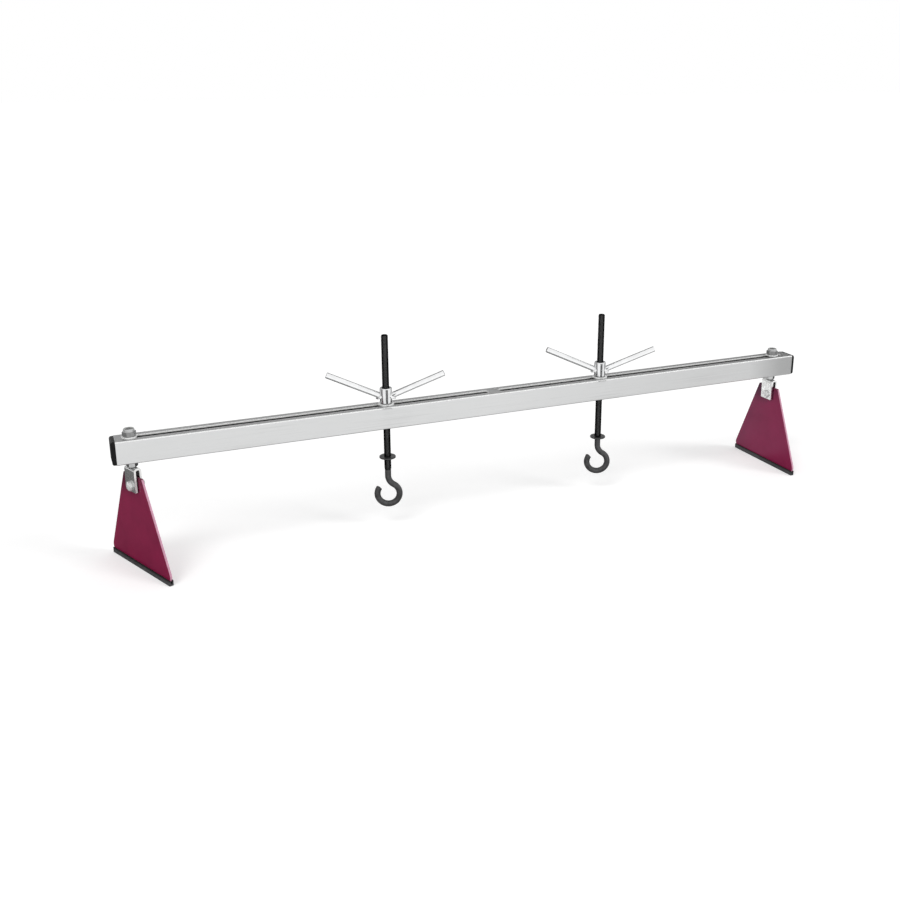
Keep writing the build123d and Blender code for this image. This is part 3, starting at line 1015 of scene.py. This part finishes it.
class SUPPORTBAR_OT_forks(bpy.types.Operator):
    """Strips bent over the plates' tops, with the threaded studs that hang them in the slots"""

    bl_idname = "support_bar.forks"
    bl_label = "Forks and studs"

    def execute(self, context):
        sizes = context.scene.support_bar_sizes
        for side in SIDES:
            self.fork(sizes, side)
            self.stud(sizes, side)
        return {"FINISHED"}

    def fork(self, sizes, side):
        """Cuts the strip flat with its two pin holes, then folds it over its bends."""
        node = f"{side}_foot_fork"
        low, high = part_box(node)
        strip = sizes.fork_strip
        fold_radius = sizes.fork_bend_radius + strip / 2
        half_web = (sizes.fork_gap + strip) / 2 - fold_radius
        arm = high.z - strip / 2 - fold_radius - low.z
        bend = fold_radius * QUARTER_TURN
        half_length = half_web + bend + arm
        half_width = sizes.fork_width / 2
        pin_at = half_length - (middle(f"{side}_pin_bolt").z - low.z)
        bm = bmesh.new()
        outline = rounded_outline(
            bm,
            (
                (-half_length, -half_width, 0), (half_length, -half_width, 0), (half_length, half_width, 0),
                (-half_length, half_width, 0),
            ),
            (sizes.fork_corner_radius,) * 4,
        )
        for at in (-pin_at, pin_at):
            outline += edges_of(circle(bm, sizes.pin_diameter / 2 + PIN_PLAY, 32, Matrix.Translation((at, 0, 0))))
        sheet_from(bm, outline, strip, (0, 0, 1))
        soften(bm, sizes.fork_edge_radius, 4, lambda e: all(not self.near_hole(v.co, pin_at) for v in e.verts))
        soften(bm, sizes.edge_radius)
        for face in bm.faces:
            cut = abs(face.normal.z) < 0.8 and not self.near_hole(face.calc_center_median(), pin_at)
            face.material_index = 1 if cut else 0
        bend_steps = 8
        for step in range(bend_steps + 1):
            for sign in (-1, 1):
                at = sign * (half_web + bend * step / bend_steps)
                bmesh.ops.bisect_plane(
                    bm, geom=everything(bm), dist=CUT_MARGIN, plane_co=(at, 0, 0), plane_no=(1, 0, 0)
                )
        web = high.z - strip / 2
        for vert in bm.verts:
            run = abs(vert.co.x)
            sign = math.copysign(1.0, vert.co.x)
            out = vert.co.z
            if run <= half_web:
                vert.co.z = web + out
            elif run <= half_web + bend:
                turn = (run - half_web) / fold_radius
                reach = fold_radius + out
                vert.co.x = sign * (half_web + reach * math.sin(turn))
                vert.co.z = web - fold_radius + reach * math.cos(turn)
            else:
                vert.co.x = sign * (half_web + fold_radius + out)
                vert.co.z = web - fold_radius - (run - half_web - bend)
        bmesh.ops.recalc_face_normals(bm, faces=bm.faces)
        # Painted highlight: the left fork's cut edges take the pale cut finish, while the right fork's keep its
        # own zinc.
        edge = "cut_zinc" if side == "left" else "fork_zinc"
        piece(f"{side}_fork", bm, f"{side}_fork", ["fork_zinc", edge], [node], foot_place(side))

    def near_hole(self, point, pin_at):
        hole_surround = 0.007
        return math.hypot(abs(point.x) - pin_at, point.y) < hole_surround

    def stud(self, sizes, side):
        node = f"{side}_foot_stud"
        bm = bmesh.new()
        threaded(
            bm, sizes.stud_diameter, sizes.stud_pitch, foot=0, top=height(node), chamfer=0.0012, steps=28
        )
        bmesh.ops.holes_fill(bm, edges=open_edges(bm), sides=0)
        bmesh.ops.recalc_face_normals(bm, faces=bm.faces)
        piece(
            f"{side}_stud", bm, f"{side}_fork", ["fitting_zinc"], [node], upright_place(node)
        )


class SUPPORTBAR_OT_nuts(bpy.types.Operator):
    """Self-locking nuts with their nylon rings, and the plain nuts under the beam"""

    bl_idname = "support_bar.nuts"
    bl_label = "Nuts"

    def execute(self, context):
        sizes = context.scene.support_bar_sizes
        seat = Matrix.Translation((0, 0, sizes.fork_gap / 2 + sizes.fork_strip))
        for side in SIDES:
            turn = foot_place(side).to_euler().z
            node = f"{side}_foot_lower_nut"
            bm = bmesh.new()
            ringed(bm, plain_nut(sizes.lower_nut_flats, sizes.stud_diameter / 2, height(node)))
            place = upright_place(node, turn + SIXTH_TURN / 2)
            piece(f"{side}_lower_nut", bm, f"{side}_fork", ["fitting_zinc"], [node], place)

            node = f"{side}_foot_lock_nut"
            nut_turn = turn + getattr(sizes, f"{side}_lock_nut_turn")
            self.locking(
                sizes.foot_nut_flats, sizes.stud_diameter / 2, height(node), sizes.lock_nut_collar,
                f"{side}_lock_nut", side, node, f"{side}_foot_nut_insert", upright_place(node, nut_turn),
            )

            node = f"{side}_pin_nut"
            least, most = span_along(node, pin_place(side).to_3x3().col[2])
            self.locking(
                sizes.pin_nut_flats, sizes.pin_diameter / 2, most - least, sizes.pin_nut_collar,
                f"{side}_pin_nut_piece", side, node, f"{side}_pin_nut_insert", pin_place(side) @ seat,
            )
        return {"FINISHED"}

    def locking(self, flats, bore, tall, collar, name, side, node, insert, place):
        shoulder = tall - collar
        bm = bmesh.new()
        ringed(bm, lock_nut(flats, bore, tall, collar))
        for face in bm.faces:
            face.material_index = 1 if face.calc_center_median().z > shoulder + 0.0002 else 0
        mark_turning(bm)
        piece(name, bm, f"{side}_fork", ["nut_zinc", "collar_zinc"], [node], place)

        reach = bore + NUT_GROOVE - RING_PLAY
        top = tall - NUT_LIP - RING_PLAY
        bm = bmesh.new()
        spun(bm, ((bore, shoulder), (reach, shoulder), (reach, top), (bore, top)))
        soften(bm, radius=0.0003)
        piece(f"{name}_ring", bm, f"{side}_fork", ["nylon"], [insert], place)


class SUPPORTBAR_OT_bolts(bpy.types.Operator):
    """Hex bolts that the plates rock on"""

    bl_idname = "support_bar.bolts"
    bl_label = "Pin bolts"

    def execute(self, context):
        sizes = context.scene.support_bar_sizes
        seat = -sizes.fork_gap / 2 - sizes.fork_strip
        head_top = seat - sizes.pin_head_height
        flats = sizes.pin_head_flats
        radius = sizes.pin_diameter / 2
        seat_radius = 0.47 * flats
        fillet = 0.0004
        crown = 0.0016
        for side in SIDES:
            node = f"{side}_pin_bolt"
            along = pin_place(side).to_3x3().col[2]
            tail = span_along(node, along)[1] - pin_place(side).translation.dot(along)
            bm = bmesh.new()
            threaded(
                bm, sizes.pin_diameter, sizes.pin_pitch, foot=0.001, top=tail, chamfer=0.0009, steps=24
            )
            foot_loop = open_edges(bm)
            bmesh.ops.bridge_loops(bm, edges=foot_loop + ring(bm, radius, 0.0))
            outline = [
                (radius, 0.0),
                (radius, seat + fillet),
                (radius + fillet, seat),
                (seat_radius, seat),
                (seat_radius, seat - fillet),
                (hexagon(flats), seat - fillet),
                (hexagon(flats), hex_rim(flats, head_top + crown, -1)),
            ]
            for share in (1.0, 0.8, 0.6, 0.4, 0.2):
                outline.append((NUT_RIM * flats * share, head_top + crown * share ** 2))
            ringed(bm, outline, closed=False)
            bmesh.ops.holes_fill(bm, edges=open_edges(bm), sides=0)
            close_up(bm)
            mark_turning(bm)
            piece(
                f"{side}_bolt", bm, f"{side}_fork", ["washer_zinc"], [node], pin_place(side)
            )
        return {"FINISHED"}


class SUPPORTBAR_OT_washers(bpy.types.Operator):
    """Stamped washers: rounded on their upper edge, sharper below"""

    bl_idname = "support_bar.washers"
    bl_label = "Washers"

    def execute(self, context):
        sizes = context.scene.support_bar_sizes
        upper_edge, lower_edge = 0.0008, 0.0002
        for side in SIDES:
            for place, body, thread in (
                ("foot_top", "foot_slider", sizes.stud_diameter),
                ("foot_lower", "foot_slider", sizes.stud_diameter),
                ("thrust", "trolley", sizes.spindle_diameter),
            ):
                node = f"{side}_{place}_washer"
                low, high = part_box(node)
                foot = sizes.washer_clear
                top = high.z - low.z - foot
                outer = (high.x - low.x) / 2
                inner = thread / 2 + sizes.washer_gap
                bm = bmesh.new()
                spun(bm, ((inner, foot), (outer, foot), (outer, top), (inner, top)), 72)
                soften(bm, upper_edge, 4, above(top))
                soften(bm, lower_edge)
                mark_turning(bm)
                piece(
                    f"{side}_{place}_ring", bm, f"{side}_{body}", ["washer_zinc"], [node],
                    upright_place(node),
                )
        return {"FINISHED"}


class SUPPORTBAR_OT_wing_nuts(bpy.types.Operator):
    """Round hubs with two welded bar handles each"""

    bl_idname = "support_bar.wing_nuts"
    bl_label = "Wing nuts"

    def execute(self, context):
        sizes = context.scene.support_bar_sizes
        for side in SIDES:
            low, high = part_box(f"{side}_wing_nut_hub")
            reach = (high.x - low.x) / 2
            self.hub(sizes, side, reach, high.z - low.z)
            for end in ("front", "back"):
                self.handle(sizes, side, end, reach)
        return {"FINISHED"}

    def hub(self, sizes, side, reach, tall):
        node = f"{side}_wing_nut_hub"
        bore = sizes.spindle_diameter / 2 + SPINDLE_PLAY
        foot_lead, top_lead, foot_edge = 0.0008, 0.0003, 0.0014
        bm = bmesh.new()
        spun(
            bm,
            (
                (bore, foot_lead), (bore + foot_lead, 0), (reach - foot_edge, 0), (reach, foot_edge),
                (reach, tall), (bore + top_lead, tall), (bore, tall - top_lead),
            ),
            96,
        )
        soften(bm, sizes.hub_edge_radius, 6, above(tall))
        soften(bm, sizes.edge_radius)
        # Painted shade: the chamfer round the hub's foot takes the dark hooks' steel, as the shade in the gap
        # above the washer.
        for face in bm.faces:
            at = face.calc_center_median()
            foot_shade_edge = at.z < foot_edge and math.hypot(at.x, at.y) > reach - foot_edge - 0.0001
            face.material_index = 1 if foot_shade_edge else 0
        piece(
            f"{side}_hub", bm, f"{side}_wing_nut", ["hub_zinc", "hook_steel"], [node],
            upright_place(node),
        )

    def handle(self, sizes, side, end, hub_reach):
        """A bar along Z from the hub's axis, with its weld, then tilted and turned to its place."""
        node = f"{side}_wing_nut_handle_{end}"
        hub = middle(f"{side}_wing_nut_hub")
        off = middle(node) - hub
        radius = sizes.handle_diameter / 2
        lean = Matrix.Rotation(QUARTER_TURN - sizes.handle_tilt, 4, "Y")
        way = Matrix.Rotation(math.atan2(off.y, off.x), 4, "Z") @ lean
        along, across = way.to_3x3().col[2], way.to_3x3().col[0]
        foot = Vector((hub.x, hub.y, 0))
        foot.z = (foot.dot(across) - sum(span_along(node, across)) / 2) / math.cos(sizes.handle_tilt)
        run = span_along(node, along)[1] - foot.dot(along)
        start = 0.78 * hub_reach
        bm = bmesh.new()
        bmesh.ops.create_cone(
            bm, cap_ends=True, segments=40, radius1=radius, radius2=radius, depth=run - start,
            matrix=Matrix.Translation((0, 0, (run + start) / 2)),
        )
        soften(bm, radius=0.0010, segments=3, where=above(run))
        self.weld(sizes, bm, radius, hub_reach)
        piece(
            f"{side}_{end}_handle", bm, f"{side}_wing_nut", ["bright_zinc"], [node],
            Matrix.Translation(foot) @ way,
        )

    def weld(self, sizes, bm, radius, hub_reach):
        """A rippled bead around the handle's foot, laid on the hub's round."""
        leg, tilt = sizes.weld_leg, sizes.handle_tilt
        ripples, ripple_depth, lump_depth, flatness = 22, 0.07, 0.16, 0.85
        sunk, widest = 0.1 * leg, 0.97 * hub_reach
        before = set(bm.verts)
        beside = Matrix.Translation((radius - sunk, 0, 0)) @ Matrix.Rotation(QUARTER_TURN, 4, "X")
        bead = circle(bm, leg, 14, beside)
        bmesh.ops.spin(
            bm, geom=bead + edges_of(bead), cent=(0, 0, 0), axis=(0, 0, 1), angle=FULL_TURN, steps=88,
            use_merge=True,
        )
        for vert in [v for v in bm.verts if v not in before]:
            turn = math.atan2(vert.co.y, vert.co.x)
            reach = math.hypot(vert.co.x, vert.co.y)
            lump = noise.noise(Vector((3 * vert.co.x, 3 * vert.co.y, 7)) * 60)
            ripple = 1.0 + ripple_depth * math.sin(ripples * turn) + lump_depth * lump
            out = radius + (reach - radius) * ripple
            side_way = out * math.sin(turn)
            saddle = math.sqrt(hub_reach ** 2 - min(abs(side_way), widest) ** 2)
            lift = (saddle + out * math.cos(turn) * math.sin(tilt)) / math.cos(tilt)
            vert.co = (out * math.cos(turn), side_way, lift + flatness * vert.co.z * ripple)
        close_up(bm)


class SUPPORTBAR_OT_spindles(bpy.types.Operator):
    """Threaded spindles whose lower ends are bent to hooks"""

    bl_idname = "support_bar.spindles"
    bl_label = "Spindles and hooks"

    def execute(self, context):
        sizes = context.scene.support_bar_sizes
        for side in SIDES:
            self.spindle(sizes, side)
        return {"FINISHED"}

    def spindle(self, sizes, side):
        """Cuts the thread, lets it run out into the bar, and draws the bar on round the hook."""
        node = f"{side}_spindle_hook"
        low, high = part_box(node)
        axis = middle(f"{side}_thrust_washer")
        bar = sizes.hook_bar / 2
        centre_z = low.z + sizes.hook_radius + bar
        thread_foot = sizes.thread_above_hook
        bm = bmesh.new()
        threaded(
            bm, sizes.spindle_diameter, sizes.spindle_pitch, thread_foot, high.z - centre_z, sizes.spindle_chamfer
        )
        run_out = 1.6 * sizes.spindle_pitch
        for vert in bm.verts:
            fade = 1.0 - min(1.0, (vert.co.z - thread_foot) / run_out)
            fade = fade * fade * (3 - 2 * fade)
            grown = 1.0 + fade * (bar / math.hypot(vert.co.x, vert.co.y) - 1.0)
            vert.co.x *= grown
            vert.co.y *= grown
        threads = set(bm.faces)
        thread_end = open_edges(bm)
        tip = self.hook(sizes, bm, bar, thread_foot - 0.001, thread_end)
        bmesh.ops.edgeloop_fill(bm, edges=tip)
        bmesh.ops.recalc_face_normals(bm, faces=bm.faces)
        bevelled(bm, tip, sizes.hook_tip_radius, 6)
        for face in bm.faces:
            face.material_index = 0 if face in threads else 1
        mark_turning(bm)
        turn = getattr(sizes, f"{side}_hook_turn")
        piece(
            f"{side}_spindle", bm, f"{side}_spindle", ["black_thread", "hook_steel"], [node],
            Matrix.Translation((axis.x, axis.y, centre_z)) @ Matrix.Rotation(turn, 4, "Z"),
        )

    def hook(self, sizes, bm, bar, shank_top, thread_end):
        """Draws the bar down from the thread's end and round two arcs. Returns the edges of its open tip."""
        join_angle = sizes.hook_join_angle
        joined = edges_of(circle(bm, bar, 40, Matrix.Translation((0, 0, shank_top))))
        bmesh.ops.bridge_loops(bm, edges=thread_end + joined)
        shank_radius = sizes.hook_radius * math.cos(join_angle) / (1 - math.cos(join_angle))
        shank_foot = (sizes.hook_radius + shank_radius) * math.sin(join_angle)
        verts = of_kind(bmesh.ops.extrude_edge_only(bm, edges=joined)["geom"], BMVert)
        bmesh.ops.translate(bm, vec=(0, 0, shank_foot - shank_top), verts=verts)
        end = verts + edges_of(verts)
        for centre, way, turn, steps in (
            ((shank_radius, 0, shank_foot), -1, join_angle, 14),
            ((0, 0, 0), 1, FULL_TURN - sizes.hook_tip_angle + join_angle, 64),
        ):
            end = bmesh.ops.spin(
                bm, geom=end, cent=centre, axis=(0, way, 0), angle=turn, steps=steps, use_merge=False
            )["geom_last"]
        return of_kind(end, BMEdge)


class SUPPORTBAR_OT_stop_discs(bpy.types.Operator):
    """Dark discs on the spindles' thread, below the beam"""

    bl_idname = "support_bar.stop_discs"
    bl_label = "Stop discs"

    def execute(self, context):
        sizes = context.scene.support_bar_sizes
        bore = sizes.spindle_diameter / 2 + SPINDLE_PLAY
        edge = 0.0005
        for side in SIDES:
            node = f"{side}_stop_disc"
            low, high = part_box(node)
            thick = high.z - low.z
            reach = (high.x - low.x) / 2
            bm = bmesh.new()
            spun(
                bm,
                (
                    (bore, edge), (bore + edge, 0), (reach, 0), (reach, thick), (bore + edge, thick),
                    (bore, thick - edge),
                ),
                72,
            )
            soften(bm, edge, 3)
            mark_turning(bm)
            piece(
                f"{side}_disc", bm, f"{side}_stop_disc", ["disc_steel"], [node], upright_place(node)
            )
        return {"FINISHED"}


# Stage

CAMERA_PLACE = (-0.8453, -1.9024, 0.9027)
CAMERA_TURN = (math.radians(90 - 16.78), 0, math.radians(-23.26))
CAMERA_LENS = 41.98
CAMERA_SHIFT = (-0.0349, -0.0727)

FLOOR_HALF = 30.0
FLOOR_DROP = 0.0002  # of the floor below the soles
FLOOR_LIFT = 0.34  # glow that shows to the camera and in bright metal, and lights nothing
SURROUND_CAST, SURROUND_SEEN = 0.55, 1.0  # strength of the surround as a light, and where it shows

# Name, way to the lamp, width in degrees, strength
LAMPS = (
    ("key_lamp", (0.62, -0.58, 0.50), 22, 0.9),
    ("fill_lamp", (-0.50, -0.40, 0.77), 26, 0.9),
)

LYING = Matrix()
UPRIGHT = Matrix.Rotation(QUARTER_TURN, 4, "X")
SIDEWAYS = Matrix.Rotation(QUARTER_TURN, 4, "Z") @ UPRIGHT

# Name, middle, turn, half width and half depth, grey
CARDS = (
    ("left_floor_card", (-1.65, 0.25, 0.001), LYING, (0.95, 0.40), 0.19),
    ("back_floor_card", (0.70, 2.00, 0.001), LYING, (3.00, 1.35), 0.10),
    ("right_floor_card", (1.95, 0.00, 0.001), LYING, (0.80, 0.50), 0.10),
    ("under_beam_card", (0.05, -0.10, 0.001), LYING, (0.75, 0.12), 0.45),
    ("near_floor_card", (-0.05, 0.18, 0.001), LYING, (0.50, 0.15), 0.06),
    ("back_wall_card", (1.5, 3.0, 2.2), UPRIGHT, (4.0, 1.2), 0.50),
    ("top_card", (0.5, 2.4, 4.3), UPRIGHT, (4.0, 1.4), 0.12),
    ("left_wall_card", (-4.5, 0.8, 1.5), SIDEWAYS, (2.2, 1.0), 0.08),
)
STRIP_OFFSET = Vector((-0.002, -0.030, -0.007))  # from a hub's middle to the strip card before it


class SUPPORTBAR_OT_stage(bpy.types.Operator):
    """Camera, pale floor, white surround and soft lamps"""

    bl_idname = "support_bar.stage"
    bl_label = "Stage"

    def execute(self, context):
        scene = context.scene
        scene.view_settings.view_transform = "Standard"
        self.camera(scene)
        self.floor(scene)
        self.surround(scene)
        for lamp in LAMPS:
            self.lamp(scene, *lamp)
        for card in CARDS:
            self.card(scene, *card)
        for side in SIDES:
            strip = middle(f"{side}_wing_nut_hub") + STRIP_OFFSET
            self.card(scene, f"{side}_strip_card", strip, UPRIGHT, (0.010, 0.016), 0.40)
        return {"FINISHED"}

    def camera(self, scene):
        data = bpy.data.cameras.new("camera")
        data.sensor_width = 36.0
        data.lens = CAMERA_LENS
        data.shift_x, data.shift_y = CAMERA_SHIFT
        data.clip_end = 200.0
        camera = bpy.data.objects.new("camera", data)
        camera.location = CAMERA_PLACE
        camera.rotation_euler = CAMERA_TURN
        scene.collection.objects.link(camera)
        scene.camera = camera

    def seen(self, tree):
        """One for rays from the camera and for mirrored or clear ones, zero for the rest."""
        path = add_node(tree, "ShaderNodeLightPath").outputs
        either = worked(tree, "MAXIMUM", path["Is Camera Ray"], path["Is Glossy Ray"])
        return worked(tree, "MAXIMUM", either, path["Is Transmission Ray"])

    def sheet(self, scene, name, place, halves, material):
        """A flat rectangle of the stage. Returns its object."""
        bm = bmesh.new()
        bmesh.ops.create_grid(bm, x_segments=1, y_segments=1, size=1.0)
        bmesh.ops.scale(bm, vec=(*halves, 1), verts=bm.verts)
        bmesh.ops.transform(bm, matrix=place, verts=bm.verts)
        mesh = bpy.data.meshes.new(name)
        bm.to_mesh(mesh)
        bm.free()
        mesh.materials.append(material)
        made = bpy.data.objects.new(name, mesh)
        scene.collection.objects.link(made)
        return made

    def floor(self, scene):
        material = bpy.data.materials.new("pale_floor")
        material.use_nodes = True
        tree = material.node_tree
        tree.nodes.remove(tree.nodes["Principled BSDF"])
        tone = list(scene.support_bar_colours.floor) + [1.0]
        matt = add_node(tree, "ShaderNodeBsdfDiffuse", {"Color": tone}).outputs["BSDF"]
        lift = worked(tree, "MULTIPLY", self.seen(tree), FLOOR_LIFT)
        glow = add_node(tree, "ShaderNodeEmission", {"Strength": lift}).outputs["Emission"]
        both = add_node(tree, "ShaderNodeAddShader", {0: matt, 1: glow}).outputs["Shader"]
        tree.links.new(both, tree.nodes["Material Output"].inputs["Surface"])
        floor = self.sheet(scene, "floor", Matrix(), (FLOOR_HALF, FLOOR_HALF), material)
        floor.location.z = -FLOOR_DROP

    def surround(self, scene):
        world = bpy.data.worlds.new("surround")
        scene.world = world
        world.use_nodes = True
        tree = world.node_tree
        strength = spread(tree, self.seen(tree), SURROUND_CAST, SURROUND_SEEN, 0.0, 1.0)
        background = tree.nodes["Background"]
        background.inputs["Color"].default_value = (1, 1, 1, 1)
        tree.links.new(strength, background.inputs["Strength"])

    def lamp(self, scene, name, way, width, strength):
        """A far soft lamp, so that the whole floor gets the same light."""
        data = bpy.data.lights.new(name, "SUN")
        data.angle = math.radians(width)
        data.energy = strength
        lamp = bpy.data.objects.new(name, data)
        lamp.rotation_euler = (-Vector(way)).to_track_quat("-Z", "Y").to_euler()
        lamp.visible_glossy = False
        scene.collection.objects.link(lamp)

    def card(self, scene, name, centre, turn, halves, grey):
        """A card that only mirrored rays meet, which gives bright metal its darker bands."""
        cloth, tree, shader = finish(f"{name}_cloth", {"Roughness": 0.9})
        join(tree, shader, Base_Color=tinted(tree, grain(tree, 300.0), (grey, grey, grey), 0.9, 1.1))
        card = self.sheet(scene, name, Matrix.Translation(centre) @ turn, halves, cloth)
        for ray in ("camera", "diffuse", "transmission", "volume_scatter", "shadow"):
            setattr(card, f"visible_{ray}", False)


# Add-on

MAKERS = (
    SUPPORTBAR_OT_stage,
    SUPPORTBAR_OT_beam,
    SUPPORTBAR_OT_end_caps,
    SUPPORTBAR_OT_plates,
    SUPPORTBAR_OT_forks,
    SUPPORTBAR_OT_nuts,
    SUPPORTBAR_OT_bolts,
    SUPPORTBAR_OT_washers,
    SUPPORTBAR_OT_wing_nuts,
    SUPPORTBAR_OT_spindles,
    SUPPORTBAR_OT_stop_discs,
)


class SUPPORTBAR_PT_pieces(bpy.types.Panel):
    """Lists the makers of the bar's pieces, and their sizes and colours"""

    bl_idname = "SUPPORTBAR_PT_pieces"
    bl_label = "Support bar"
    bl_space_type = "VIEW_3D"
    bl_region_type = "UI"
    bl_category = "Support bar"

    def draw(self, context):
        layout = self.layout
        for maker in MAKERS:
            layout.operator(maker.bl_idname)
        for group in (context.scene.support_bar_sizes, context.scene.support_bar_colours):
            column = layout.column(align=True)
            for name in group.__annotations__:
                column.prop(group, name)


CLASSES = (SupportBarSizes, SupportBarColours, *MAKERS, SUPPORTBAR_PT_pieces)


def register():
    for cls in CLASSES:
        bpy.utils.register_class(cls)
    bpy.types.Scene.support_bar_sizes = bpy.props.PointerProperty(type=SupportBarSizes)
    bpy.types.Scene.support_bar_colours = bpy.props.PointerProperty(type=SupportBarColours)


def unregister():
    del bpy.types.Scene.support_bar_colours
    del bpy.types.Scene.support_bar_sizes
    for cls in reversed(CLASSES):
        bpy.utils.unregister_class(cls)


def main():
    register()
    for maker in MAKERS:
        group, name = maker.bl_idname.split(".")
        getattr(getattr(bpy.ops, group), name)()


if __name__ == "__main__":
    main()
